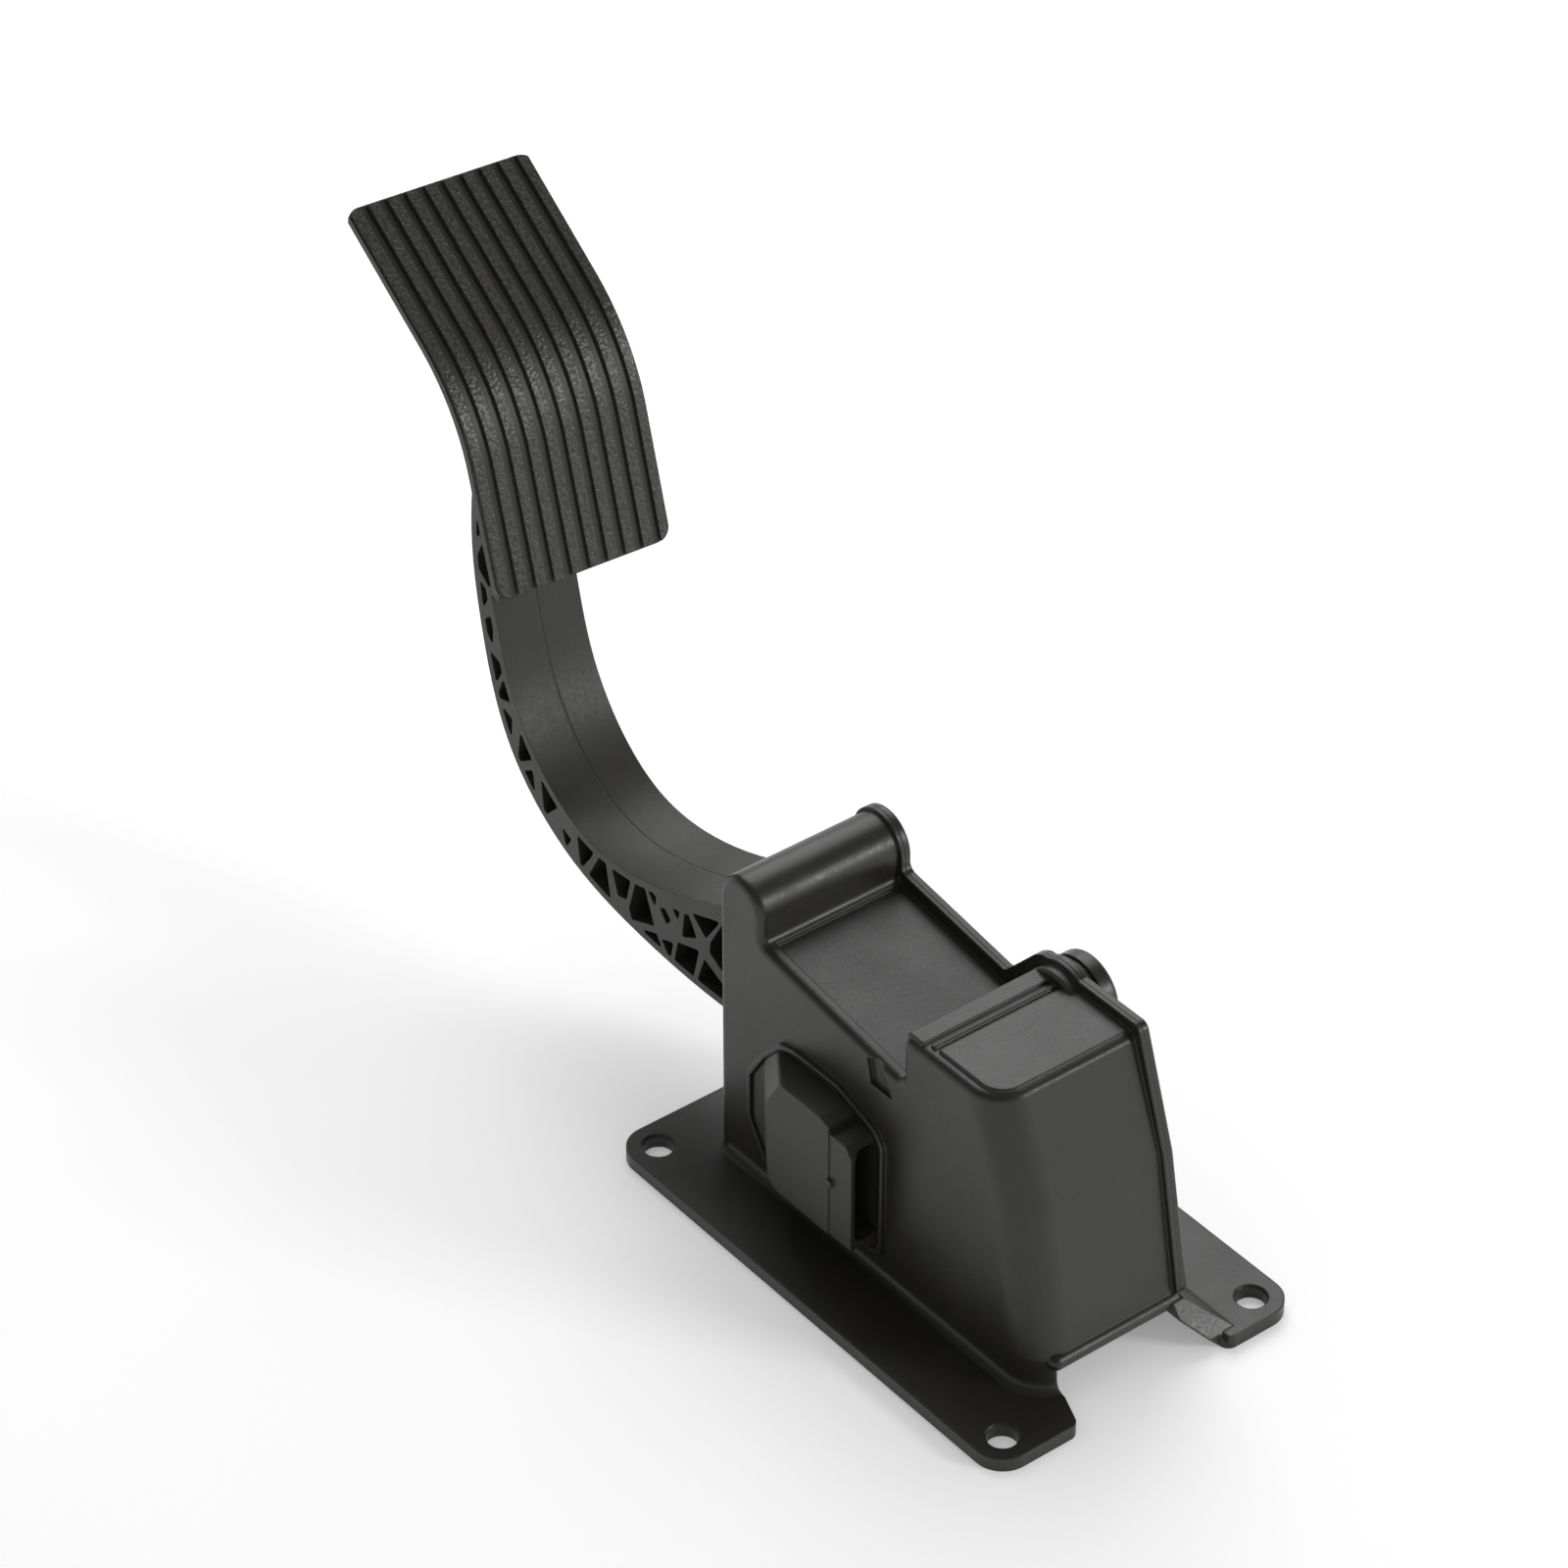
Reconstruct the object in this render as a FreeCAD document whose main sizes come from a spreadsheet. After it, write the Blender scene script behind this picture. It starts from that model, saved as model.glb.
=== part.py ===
import FreeCAD, Part
import math
import os
import Sketcher
from FreeCAD import Placement, Rotation, Vector

# Accelerator pedal module, millimetres.
# X runs across the pedal towards the side cover, Y runs back towards the arm and tread, Z is up.
# The origin is the centre of the four bolt holes, on the flat underside of the feet.

doc = FreeCAD.newDocument("AcceleratorPedal")
sheet = doc.addObject("Spreadsheet::Sheet", "Sizes")

SIZES = [
    # Mounting feet
    ("hole_pitch_across", 85.0),
    ("hole_pitch_along", 144.5),
    ("hole_bore", 8.5),
    ("hole_edge", 8.7),
    ("hole_chamfer", 0.5),
    ("foot_thick", 4.2),
    ("foot_corner", 8.5),
    ("front_gap_left", 20.7),
    ("front_gap_right", 27.5),
    # Housing
    ("wall", 2.5),
    ("body_left", 28.0),
    ("body_joint", 19.6),
    ("floor_height", 12.0),
    ("pivot_back", 54.6),
    ("pivot_height", 89.2),
    ("roll_radius", 9.0),
    ("roll_wall", 2.0),
    ("deck_drop", 10.2),
    ("deck_slope", 8.5),
    ("deck_recess", 1.0),
    ("bead_width", 4.0),
    ("block_back", 12.5),
    ("block_front", 48.5),
    ("block_height", 89.5),
    ("plateau_rise", 0.9),
    ("knee_front", 60.2),
    ("knee_height", 58.0),
    ("nose_front", 68.2),
    ("corner_radius", 11.0),
    ("rim_round", 2.4),
    ("rear_opening_height", 80.0),
    # Flange that the cover closes on
    ("flange_thick", 1.3),
    ("flange_over_front", 1.5),
    ("flange_over_top", 3.6),
    ("flange_over_deck", 3.0),
    ("flange_over_roll", 1.0),
    ("flange_corner", 3.0),
    ("tab_length", 14.5),
    # Cover
    ("cover_thick", 2.2),
    ("dome_radius", 11.5),
    ("dome_height", 7.0),
    ("dome_back", -20.5),
    ("dome_top", 82.0),
    ("screw_shank", 3.6),
    ("screw_head", 7.6),
    ("screw_length", 10.0),
    ("boss_radius", 3.6),
    # Pivot
    ("shaft_radius", 4.0),
    ("hub_radius", 6.6),
    ("bush_radius", 5.3),
    ("bush_length", 9.0),
    ("bush_flange", 1.0),
    ("run_gap", 0.05),
    ("side_gap", 0.3),
    # Arm
    ("arm_left", 19.0),
    ("arm_width", 28.0),
    ("arm_web", 3.0),
    ("arm_flange", 2.4),
    ("strut_width", 1.9),
    ("pocket_round", 0.6),
    ("lever_width", 22.0),
    ("lever_nose", 6.0),
    ("nose_forward", 26.0),
    ("nose_height", 40.0),
    ("arm_travel", 15.0),
    # Tread
    ("tread_left", 20.5),
    ("tread_width", 58.0),
    ("tread_foot_back", 168.9),
    ("tread_foot_height", 118.6),
    ("tread_lower", 59.0),
    ("tread_upper", 61.3),
    ("tread_lean", 74.7),
    ("tread_bend", 37.9),
    ("tread_radius", 60.0),
    ("tread_base", 1.3),
    ("rib_height", 1.1),
    ("rib_top", 3.3),
    ("rib_flank", 0.35),
    ("plate_thick", 2.0),
    ("plate_margin", 0.6),
    ("plate_rib", 4.0),
    ("tread_skew", 2.8),
    ("tread_flare", 1.1),
    ("tread_corner", 4.5),
    # Return springs and the cup that they press down
    ("spring_forward", 30.0),
    ("outer_spring_radius", 11.6),
    ("outer_wire", 2.2),
    ("inner_spring_radius", 7.4),
    ("inner_wire", 1.6),
    ("outer_turns", 5.0),
    ("inner_turns", 6.0),
    ("cup_floor", 2.6),
    ("cup_rim", 4.0),
    ("seat_thick", 1.2),
    ("rail_gap", 8.0),
    ("rail_height", 3.0),
    ("rail_thick", 2.0),
    # Stops
    ("stop_radius", 6.0),
    ("idle_stop_thick", 5.0),
    ("full_stop_thick", 2.6),
    # Sensor and connector
    ("socket_depth", 10.3),
    ("socket_low", 12.0),
    ("socket_high", 55.9),
    ("socket_front", -4.7),
    ("socket_back", 48.5),
    ("shroud_slope", 18.5),
    ("socket_wall", 1.8),
    ("cavity_depth", 26.0),
    ("collar_width", 2.0),
    ("collar_height", 1.5),
    ("pin_width", 0.8),
    ("pin_pitch", 5.4),
    ("pin_reach", 16.0),
    ("gasket_thick", 0.8),
    ("board_thick", 1.6),
    ("board_length", 38.0),
    ("board_height", 34.0),
    ("lid_wall", 0.9),
    ("chip_size", 5.0),
    ("chip_thick", 1.4),
    ("magnet_length", 12.0),
    ("magnet_height", 9.0),
    ("magnet_thick", 2.4),
    ("seat_gap", 0.02),
    ("part_gap", 0.2),
]

for row, (alias, value) in enumerate(SIZES, start=1):
    sheet.set("A%d" % row, alias)
    sheet.set("B%d" % row, str(value))
    sheet.setAlias("B%d" % row, alias)
doc.recompute()


def size(alias):
    return float(sheet.get(alias))


# Helpers for outlines drawn in the side view, where a point is (back, up)

def side_point(back, up, across=0.0):
    return Vector(across, back, up)


def side_face(points):
    corners = [side_point(back, up) for back, up in points]
    return Part.Face(Part.makePolygon(corners + corners[:1]))


def round_concave(face, radius):
    return face.makeOffset2D(radius).makeOffset2D(-radius)


def round_convex(face, radius):
    return face.makeOffset2D(-radius).makeOffset2D(radius)


def as_face(shape):
    return shape if shape.ShapeType == "Face" else shape.Faces[0]


def across_prism(face, start, stop):
    moved = face.copy()
    moved.translate(Vector(start, 0, 0))
    return moved.extrude(Vector(stop - start, 0, 0))


def block(x_start, x_stop, y_start, y_stop, z_start, z_stop):
    return Part.makeBox(x_stop - x_start, y_stop - y_start, z_stop - z_start,
                        Vector(x_start, y_start, z_start))


def across_rod(radius, back, up, start, stop):
    return Part.makeCylinder(radius, stop - start, side_point(back, up, start), Vector(1, 0, 0))


def fillet_where(solid, radius, wanted):
    edges = [edge for edge in solid.Edges if wanted(edge)]
    return solid.makeFillet(radius, edges)


def publish(label, shape):
    feature = doc.addObject("Part::Feature", label)
    feature.Label = label
    feature.Shape = shape
    return feature


# Helpers for bodies made from sketches bound to the sheet

def new_body(label):
    body = doc.addObject("PartDesign::Body", label)
    body.Label = label
    return body


def new_sketch(body, name, plane):
    sketch = body.newObject("Sketcher::SketchObject", name)
    origin_plane = [item for item in body.Origin.OriginFeatures if item.Role == plane][0]
    sketch.AttachmentSupport = (origin_plane, [""])
    sketch.MapMode = "FlatFace"
    return sketch


def add_polygon(sketch, corners):
    """Closed outline whose corners are pairs of expressions."""
    places = [Vector(sketch.evalExpression(across), sketch.evalExpression(up), 0) for across, up in corners]
    first = sketch.GeometryCount
    count = len(places)
    for index in range(count):
        sketch.addGeometry(Part.LineSegment(places[index], places[(index + 1) % count]), False)
    for index in range(count):
        following = first + (index + 1) % count
        sketch.addConstraint(Sketcher.Constraint("Coincident", first + index, 2, following, 1))
    for index, (across, up) in enumerate(corners):
        for kind, amount, expression in (("DistanceX", places[index].x, across),
                                         ("DistanceY", places[index].y, up)):
            number = sketch.addConstraint(Sketcher.Constraint(kind, first + index, 1, amount))
            sketch.setExpression("Constraints[%d]" % number, expression)


def add_rectangle(sketch, left, right, low, high):
    add_polygon(sketch, [(left, low), (right, low), (right, high), (left, high)])


def add_circle(sketch, across, up, radius):
    place = Vector(sketch.evalExpression(across), sketch.evalExpression(up), 0)
    amount = sketch.evalExpression(radius)
    number = sketch.addGeometry(Part.Circle(place, Vector(0, 0, 1), amount), False)
    for kind, value, expression in (("DistanceX", place.x, across), ("DistanceY", place.y, up)):
        index = sketch.addConstraint(Sketcher.Constraint(kind, number, 3, value))
        sketch.setExpression("Constraints[%d]" % index, expression)
    index = sketch.addConstraint(Sketcher.Constraint("Radius", number, amount))
    sketch.setExpression("Constraints[%d]" % index, radius)


def pad(body, sketch, length):
    feature = body.newObject("PartDesign::Pad", sketch.Name + "Pad")
    feature.Profile = sketch
    feature.setExpression("Length", length)
    sketch.Visibility = False
    doc.recompute()
    return feature


def revolve(body, sketch, axis):
    feature = body.newObject("PartDesign::Revolution", sketch.Name + "Turn")
    feature.Profile = sketch
    feature.ReferenceAxis = (sketch, [axis])
    feature.Angle = 360.0
    doc.recompute()
    return feature


def place_body(body, across, back, up):
    for axis, expression in (("x", across), ("y", back), ("z", up)):
        body.setExpression("Placement.Base.%s" % axis, expression)


# Places that several pieces share
wall = size("wall")
pivot_back = size("pivot_back")
pivot_height = size("pivot_height")
inner_left = -size("body_left") + wall
joint = size("body_joint")
floor_top = size("floor_height") + wall
flange_start = joint - size("flange_thick")
roll_inner = size("roll_radius") - size("roll_wall")
rear_edge = pivot_back + size("roll_radius")
arm_right = size("arm_width") - size("arm_left")
arm_middle = arm_right - size("arm_width") / 2
lever_left = arm_middle - size("lever_width") / 2
lever_right = arm_middle + size("lever_width") / 2
hub_left = inner_left + 5.5
hub_right = joint - 4.5
cup_low = size("nose_height") + size("lever_nose") + size("run_gap")
ceiling = size("block_height") - wall
spring_top = ceiling - size("seat_thick")
spring_low = cup_low + size("cup_floor")


def deck_line(back):
    return pivot_height - size("deck_drop") + math.tan(math.radians(size("deck_slope"))) * (back - 24.0)


# Housing outlines

def housing_outline(front_out, top_up, deck_up, roll_out, tab, low):
    """Side view of the housing, grown by the given amounts; the front is left long when front_out is None."""
    back_face = rear_edge + roll_out
    roll_front = pivot_back - size("roll_radius") - roll_out
    block_back = -size("block_back")
    top = size("block_height") + top_up
    points = [
        (back_face, low),
        (back_face, pivot_height),
        (roll_front, pivot_height),
        (roll_front, deck_line(roll_front) + deck_up),
        (block_back + tab, deck_line(block_back + tab) + deck_up),
    ]
    if tab > 0:
        points.append((block_back + 0.2 * tab, top - 0.12 * tab))
    points.append((block_back, top))
    if front_out is None:
        points += [(-size("nose_front") - 40.0, top), (-size("nose_front") - 40.0, low)]
    else:
        points += [(front - front_out, up) for front, up in reversed(front_levels()) if up > low + 1.0]
        points[-len([1 for front, up in front_levels() if up > low + 1.0])] = (-size("block_front") - front_out,
                                                                                top)
        points.append((-size("nose_front") - front_out - 0.4, low))
    circle = Part.Wire(Part.makeCircle(size("roll_radius") + roll_out,
                                       side_point(pivot_back, pivot_height), Vector(1, 0, 0)))
    body = side_face(points).fuse(Part.Face(circle)).removeSplitter()
    return as_face(round_concave(as_face(body), 2.5))


def front_levels():
    """Places that the front wall's line runs through, from the bottom up."""
    return [(-size("nose_front") - 0.8, 0.0), (-size("nose_front"), floor_top),
            (-size("knee_front"), size("knee_height")), (-size("block_front"), size("block_height"))]


def leaning_plan(left, right, radius, inset):
    """Plan of the housing with its rounded front left corner, carried up the leaning front wall."""
    sections = []
    levels = front_levels()
    rise = size("block_height") - size("knee_height")
    lean = (size("knee_front") - size("block_front")) / rise
    levels[-1] = (levels[-1][0] + lean * 20.0, levels[-1][1] + 20.0)
    for (front, up), (next_front, next_up) in zip(levels, levels[1:]):
        corner = Vector(left, front + inset, up)
        arc = Part.Arc(corner + Vector(0, radius, 0),
                       corner + Vector(radius * (1 - math.sqrt(0.5)), radius * (1 - math.sqrt(0.5)), 0),
                       corner + Vector(radius, 0, 0)).toShape()
        rest = Part.makePolygon([corner + Vector(radius, 0, 0), Vector(right, corner.y, up),
                                 Vector(right, 200, up), Vector(left, 200, up),
                                 corner + Vector(0, radius, 0)])
        face = Part.Face(Part.Wire([arc] + rest.Edges))
        sections.append(face.extrude(Vector(0, next_front - front, next_up - up)))
    return sections[0].fuse(sections[1:]).removeSplitter()


def wall_outline():
    return housing_outline(None, 0.0, 0.0, 0.0, 0.0, 0.0)


def flange_outline():
    """Side view of the flange and the cover, with soft corners."""
    outline = housing_outline(size("flange_over_front"), size("flange_over_top"), size("flange_over_deck"),
                              size("flange_over_roll"), size("tab_length"), floor_top + 0.3)
    return as_face(round_convex(outline, size("flange_corner")))


# Housing parts

def rim_edge(edge, left):
    """True for the edges along the left wall's top and around the top of the block."""
    box = edge.BoundBox
    top = size("block_height")
    if box.YMin < -size("block_front") - 1 and box.ZLength > 1:
        return False
    on_top = box.ZMin > top - 0.01 and box.ZMax < top + 0.01
    along_left = box.XMax < left + 0.01 and box.ZMin > deck_line(-20.0) and box.YMax < pivot_back
    return on_top or along_left


def outer_body():
    left = -size("body_left")
    solid = across_prism(as_face(wall_outline()), left, joint)
    solid = solid.common(leaning_plan(left, joint, size("corner_radius"), 0.0)).removeSplitter().Solids[0]
    return fillet_where(solid, size("rim_round"), lambda edge: rim_edge(edge, left))


def inner_body():
    face = as_face(wall_outline().makeOffset2D(-wall))
    solid = across_prism(face, inner_left, joint + 1)
    solid = solid.common(leaning_plan(inner_left, joint + 1, size("corner_radius") - wall, wall))
    room = block(inner_left - 1, joint + 1, -200, 200, floor_top, 200)
    return solid.common(room).removeSplitter()


def foot_plate():
    half_x = size("hole_pitch_across") / 2 + size("hole_edge")
    half_y = size("hole_pitch_along") / 2 + size("hole_edge")
    thick = size("foot_thick")
    plate = block(-half_x, half_x, -half_y, half_y, 0, thick)
    plate = fillet_where(plate, size("foot_corner"),
                         lambda edge: edge.Length < thick + 0.01 and abs(edge.Vertexes[0].Z
                                                                          - edge.Vertexes[1].Z) > 1)
    left = -size("front_gap_left")
    right = size("front_gap_right")
    front = -size("nose_front")
    window = Part.Face(Part.makePolygon([Vector(left, front - 3, 0), Vector(left - 4.3, -half_y - 1, 0),
                                         Vector(right, -half_y - 1, 0), Vector(right, 57.0, 0),
                                         Vector(inner_left, 57.0, 0), Vector(inner_left, front + 8, 0),
                                         Vector(left, front + 8, 0), Vector(left, front - 3, 0)]))
    plate = plate.cut(window.extrude(Vector(0, 0, thick)))
    tips = lambda edge: (edge.Length < thick + 0.01 and edge.Vertexes[0].Y < -half_y + 0.01
                         and -half_x + 9 < edge.Vertexes[0].X < 0)
    return fillet_where(plate, 3.0, tips)


def right_web():
    """Sloping web from the body's right side to the foot, and what is cut off the corner in front of it."""
    thick = size("foot_thick")
    high = size("floor_height")
    right = size("front_gap_right")
    start = -size("hole_pitch_along") / 2 - size("hole_edge") - 2.0
    section = [Vector(joint - 3, start, high + wall), Vector(joint + 1.0, start, high + wall),
               Vector(right + 4, start, thick), Vector(right + 4, start, 0), Vector(right - 1, start, 0),
               Vector(joint - 3, start, high - 1.5)]
    web = Part.Face(Part.makePolygon(section + section[:1])).extrude(Vector(0, rear_edge - 2 - start, 0))
    # The front edge slants from the lip down to the corner of the foot
    ahead = side_face([(start - 1.0, -1.0), (start + 1.2, -1.0), (start + 2.0, 0.0),
                       (-size("nose_front") - 1.8, high + wall), (-size("nose_front") - 1.0, high + wall + 1.0),
                       (start - 1.0, high + wall + 1.0)])
    web = web.cut(across_prism(ahead, joint - 4, right + 6))
    front_edge = start + 2.0
    square = block(joint, right + 3.0, front_edge - 1.0, front_edge + 3.0, -1.0, thick + 3.0)
    rounding = Part.makeCylinder(3.0, thick + 6.0, Vector(right + 2.0, front_edge + 3.0, -2.0))
    beyond = block(right + 2.0, right + 4.0, front_edge - 2.0, front_edge + 4.0, -2.0, thick + 4.0)
    return web, square.cut([rounding, beyond])


def foot_fillet(radius):
    """Concave rounding between the left foot and the left wall, and around the front corner."""
    left = -size("body_left")
    thick = size("foot_thick")
    turn = size("corner_radius")
    centre = Vector(left + turn, -size("nose_front") - 0.5 + turn, 0)
    curve = Part.Arc(Vector(left - radius, centre.y, thick),
                     Vector(left - radius * (1 - math.sqrt(0.5)), centre.y, thick + radius * (1 - math.sqrt(0.5))),
                     Vector(left, centre.y, thick + radius)).toShape()
    rest = Part.makePolygon([Vector(left, centre.y, thick + radius), Vector(left + 1.0, centre.y, thick + radius),
                             Vector(left + 1.0, centre.y, thick - 0.5), Vector(left - radius, centre.y, thick - 0.5),
                             Vector(left - radius, centre.y, thick)])
    section = Part.Face(Part.Wire([curve] + rest.Edges))
    straight = section.extrude(Vector(0, rear_edge - 4.0 - centre.y, 0))
    corner = section.revolve(centre, Vector(0, 0, 1), 90)
    return straight.fuse(corner).removeSplitter()


def screw_places():
    """Centres of the cover screws; each boss is sunk a little into the wall beside it."""
    near = size("boss_radius") - 0.6
    low = floor_top + near
    return [
        (-size("nose_front") + wall + near + 0.5, low),
        (-size("block_front") + near, ceiling - near),
        (-7.0, deck_line(-7.0) - wall - near),
        (41.0, deck_line(41.0) - wall - near),
        (rear_edge - 5.5, low),
        (-2.0, low),
    ]


def screw_bosses():
    start = joint - size("screw_length") - 1.0
    return [across_rod(size("boss_radius"), back, up, start, joint) for back, up in screw_places()]


def screw_bores(start, stop, radius):
    return [across_rod(radius, back, up, start, stop) for back, up in screw_places()]


def guide_rails(wall_face, reach, top):
    """Two upright ribs either side of the cup's guide tab."""
    rails = []
    for sign in (-1, 1):
        near = size("rail_gap") / 2
        low = -size("spring_forward") + (near if sign > 0 else -near - size("rail_thick"))
        rails.append(block(min(wall_face, wall_face + reach), max(wall_face, wall_face + reach),
                           low, low + size("rail_thick"), cup_low - 3, top))
    return rails


def socket_outline(grow):
    low = size("socket_low")
    high = size("socket_high")
    front = size("socket_front")
    back = size("socket_back")
    points = [(front, low), (back - 7, low), (back, low + 11), (back, high - 18.5), (back - 6, high - 9),
              (back - 13, high - 1.5), (back - 19, high), (front + 17, high), (front + 2.5, high - 4.5),
              (front, high - 8)]
    outline = as_face(round_convex(side_face(points), 2.5))
    return as_face(outline.makeOffset2D(grow)) if grow else outline


def above_floor(solid, lift):
    return solid.common(block(-200, 200, -200, 200, floor_top + lift, 300))


def wall_pocket():
    """Shallow three-sided recess in the left wall under the block."""
    top = deck_line(0.0) - 2.0
    points = [(1.5, top), (-3.5, top + 2.0), (-8.8, top - 7.5), (0.0, top - 7.5)]
    return across_prism(side_face(points), -size("body_left") - 1, -size("body_left") + 1.3)


def housing_shell():
    left = -size("body_left")
    outer = outer_body()
    flange = across_prism(as_face(flange_outline()), flange_start, joint)
    ear = across_rod(size("dome_radius") + 1.2, size("dome_back"), size("dome_top"), flange_start, joint)
    band = across_rod(size("dome_radius") - 0.4, size("dome_back"), size("dome_top"), flange_start - 3.2, joint)
    band = fillet_where(band, 1.0, lambda edge: edge.BoundBox.XMax < flange_start - 3.0)
    solid = outer.fuse([flange, ear, band, foot_plate(), foot_fillet(3.0)])
    # Lip along the front bottom edge
    lip_end = Vector(-size("front_gap_left"), -size("nose_front") + 0.9, size("floor_height") + 1.6)
    solid = solid.fuse([across_rod(2.4, lip_end.y, lip_end.z, lip_end.x, joint), Part.makeSphere(2.4, lip_end)])
    # Tunnel between the feet
    rear_wall = rear_edge - wall
    tunnel = block(-size("front_gap_left"), joint + 1, -90, -50, -1, size("floor_height"))
    tunnel = tunnel.fuse(block(inner_left + 1, joint + 1, -58, rear_wall, -1, size("floor_height")))
    solid = solid.cut(tunnel)
    web, corner = right_web()
    solid = solid.fuse(web).cut(corner)
    solid = solid.cut(inner_body())
    # Rear opening for the arm, and the hollow of the roll
    solid = solid.cut(block(inner_left, joint + 1, rear_edge - 8, rear_edge + 5,
                            floor_top, size("rear_opening_height")))
    solid = solid.cut(across_rod(roll_inner, pivot_back, pivot_height, inner_left, joint + 1))
    # Seat of the pivot shaft
    seat_end = hub_left - size("side_gap") - size("bush_flange")
    solid = solid.fuse(across_rod(roll_inner, pivot_back, pivot_height, inner_left - 0.5, seat_end))
    solid = solid.cut(across_rod(size("shaft_radius") + size("seat_gap"), pivot_back, pivot_height,
                                 left + 1.4, seat_end + 1))
    # Deck panel, block plateaus and the groove between them
    roll_front = pivot_back - size("roll_radius")
    bead_inner = left + size("bead_width")
    panel = side_face([(roll_front - 1.5, deck_line(roll_front - 1.5) + 3),
                       (roll_front - 1.5, deck_line(roll_front - 1.5) - size("deck_recess")),
                       (-size("block_back"), deck_line(-size("block_back")) - size("deck_recess")),
                       (-size("block_back"), deck_line(-size("block_back")) + 3)])
    solid = solid.cut(across_prism(panel, bead_inner, flange_start))
    solid = solid.fuse(plateaus())
    solid = solid.cut(wall_pocket())
    # Bosses, rails and stops
    solid = solid.fuse(screw_bosses() + guide_rails(inner_left, size("rail_height"), ceiling + 0.5) + stop_bosses())
    solid = solid.cut(Part.makeCompound(stop_plug_holes()))
    solid = solid.cut(Part.makeCompound(screw_bores(joint - size("screw_length"), joint + 1,
                                                    size("screw_shank") / 2 + size("seat_gap"))))
    # Opening of the connector, with its collar
    collar_face = left - size("collar_height")
    collar = across_prism(socket_outline(size("collar_width")), collar_face, left + 0.5)
    collar = fillet_where(collar, 0.8, lambda edge: edge.BoundBox.XMax < collar_face + 0.01)
    solid = solid.fuse(collar)
    solid = solid.cut(across_prism(socket_outline(size("part_gap")), left - 5, left))
    solid = solid.cut(above_floor(across_prism(socket_outline(size("part_gap")), left - 0.5,
                                               inner_left + 0.5), 0.4))
    # Bolt holes
    for bolt_x in (-size("hole_pitch_across") / 2, size("hole_pitch_across") / 2):
        for bolt_y in (-size("hole_pitch_along") / 2, size("hole_pitch_along") / 2):
            solid = solid.cut(bolt_hole(bolt_x, bolt_y))
    return solid.removeSplitter()


def plateaus():
    """Raised lands on the block: a strip, a bead and the main top."""
    low = size("block_height") - 0.5
    high = size("block_height") + size("plateau_rise")
    left = -size("body_left")
    back = -size("block_back")
    front = -size("block_front")
    strip = block(left + 1.5, flange_start, back - 6.5, back - 0.6, low, high)
    strip = fillet_where(strip, 0.5, lambda edge: edge.BoundBox.ZMin > high - 0.01
                         and edge.BoundBox.XMax < flange_start)
    bead = across_rod(0.9, back - 8.8, size("block_height"), left + 3.0, flange_start)
    top = block(left + 3.0, flange_start, front + 1.5, back - 11.0, low, high)
    corner = size("corner_radius") - 4.0
    top = fillet_where(top, corner, lambda edge: edge.BoundBox.ZLength > 1 and edge.BoundBox.XMax < left + 4
                       and edge.BoundBox.YMax < front + 2)
    top = fillet_where(top, 0.6, lambda edge: edge.BoundBox.ZMin > high - 0.01
                       and edge.BoundBox.XMax < flange_start - 0.01)
    return [strip, bead, top]


def stop_bosses():
    """Pillar under the idle stop and a block above the full stop."""
    pillar = Part.makeCylinder(size("stop_radius"), idle_stop_low() - floor_top + 0.5,
                               Vector(arm_middle, idle_stop_back(), floor_top - 0.5))
    near, far = full_stop_back() - 20.0, full_stop_back() + 20.0
    over_deck = side_face([(near, deck_line(near) - wall + 0.5), (far, deck_line(far) - wall + 0.5),
                           (far, deck_line(far) + 50.0), (near, deck_line(far) + 50.0)])
    hanger = Part.makeCylinder(size("stop_radius"), deck_line(far) - full_stop_top(),
                               Vector(arm_middle, full_stop_back(), full_stop_top()))
    return [pillar, hanger.cut(across_prism(over_deck, inner_left, joint))]


def stop_plug_holes():
    grow = size("seat_gap")
    low = Part.makeCylinder(2.0 + grow, 4.0 + grow,
                            Vector(arm_middle, idle_stop_back(), idle_stop_low() - 4.0 - grow))
    high = Part.makeCylinder(2.0 + grow, 2.0 + grow, Vector(arm_middle, full_stop_back(), full_stop_top()))
    return [low, high]


def idle_stop_back():
    return -size("nose_forward") + 8.0


def idle_stop_low():
    return size("nose_height") - size("lever_nose") - 0.1 - size("idle_stop_thick")


def full_stop_back():
    return 8.0


def full_stop_top():
    edge = full_stop_back() + size("stop_radius")
    return lever_top_pressed(edge) + size("full_stop_thick") + size("run_gap")


def bolt_hole(bolt_x, bolt_y):
    radius = size("hole_bore") / 2
    thick = size("foot_thick")
    rim = size("hole_chamfer")
    bore = Part.makeCylinder(radius, thick + 2, Vector(bolt_x, bolt_y, -1))
    cone = Part.makeCone(radius, radius + rim, rim, Vector(bolt_x, bolt_y, thick - rim))
    return bore.fuse(cone)


# Side cover

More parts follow.
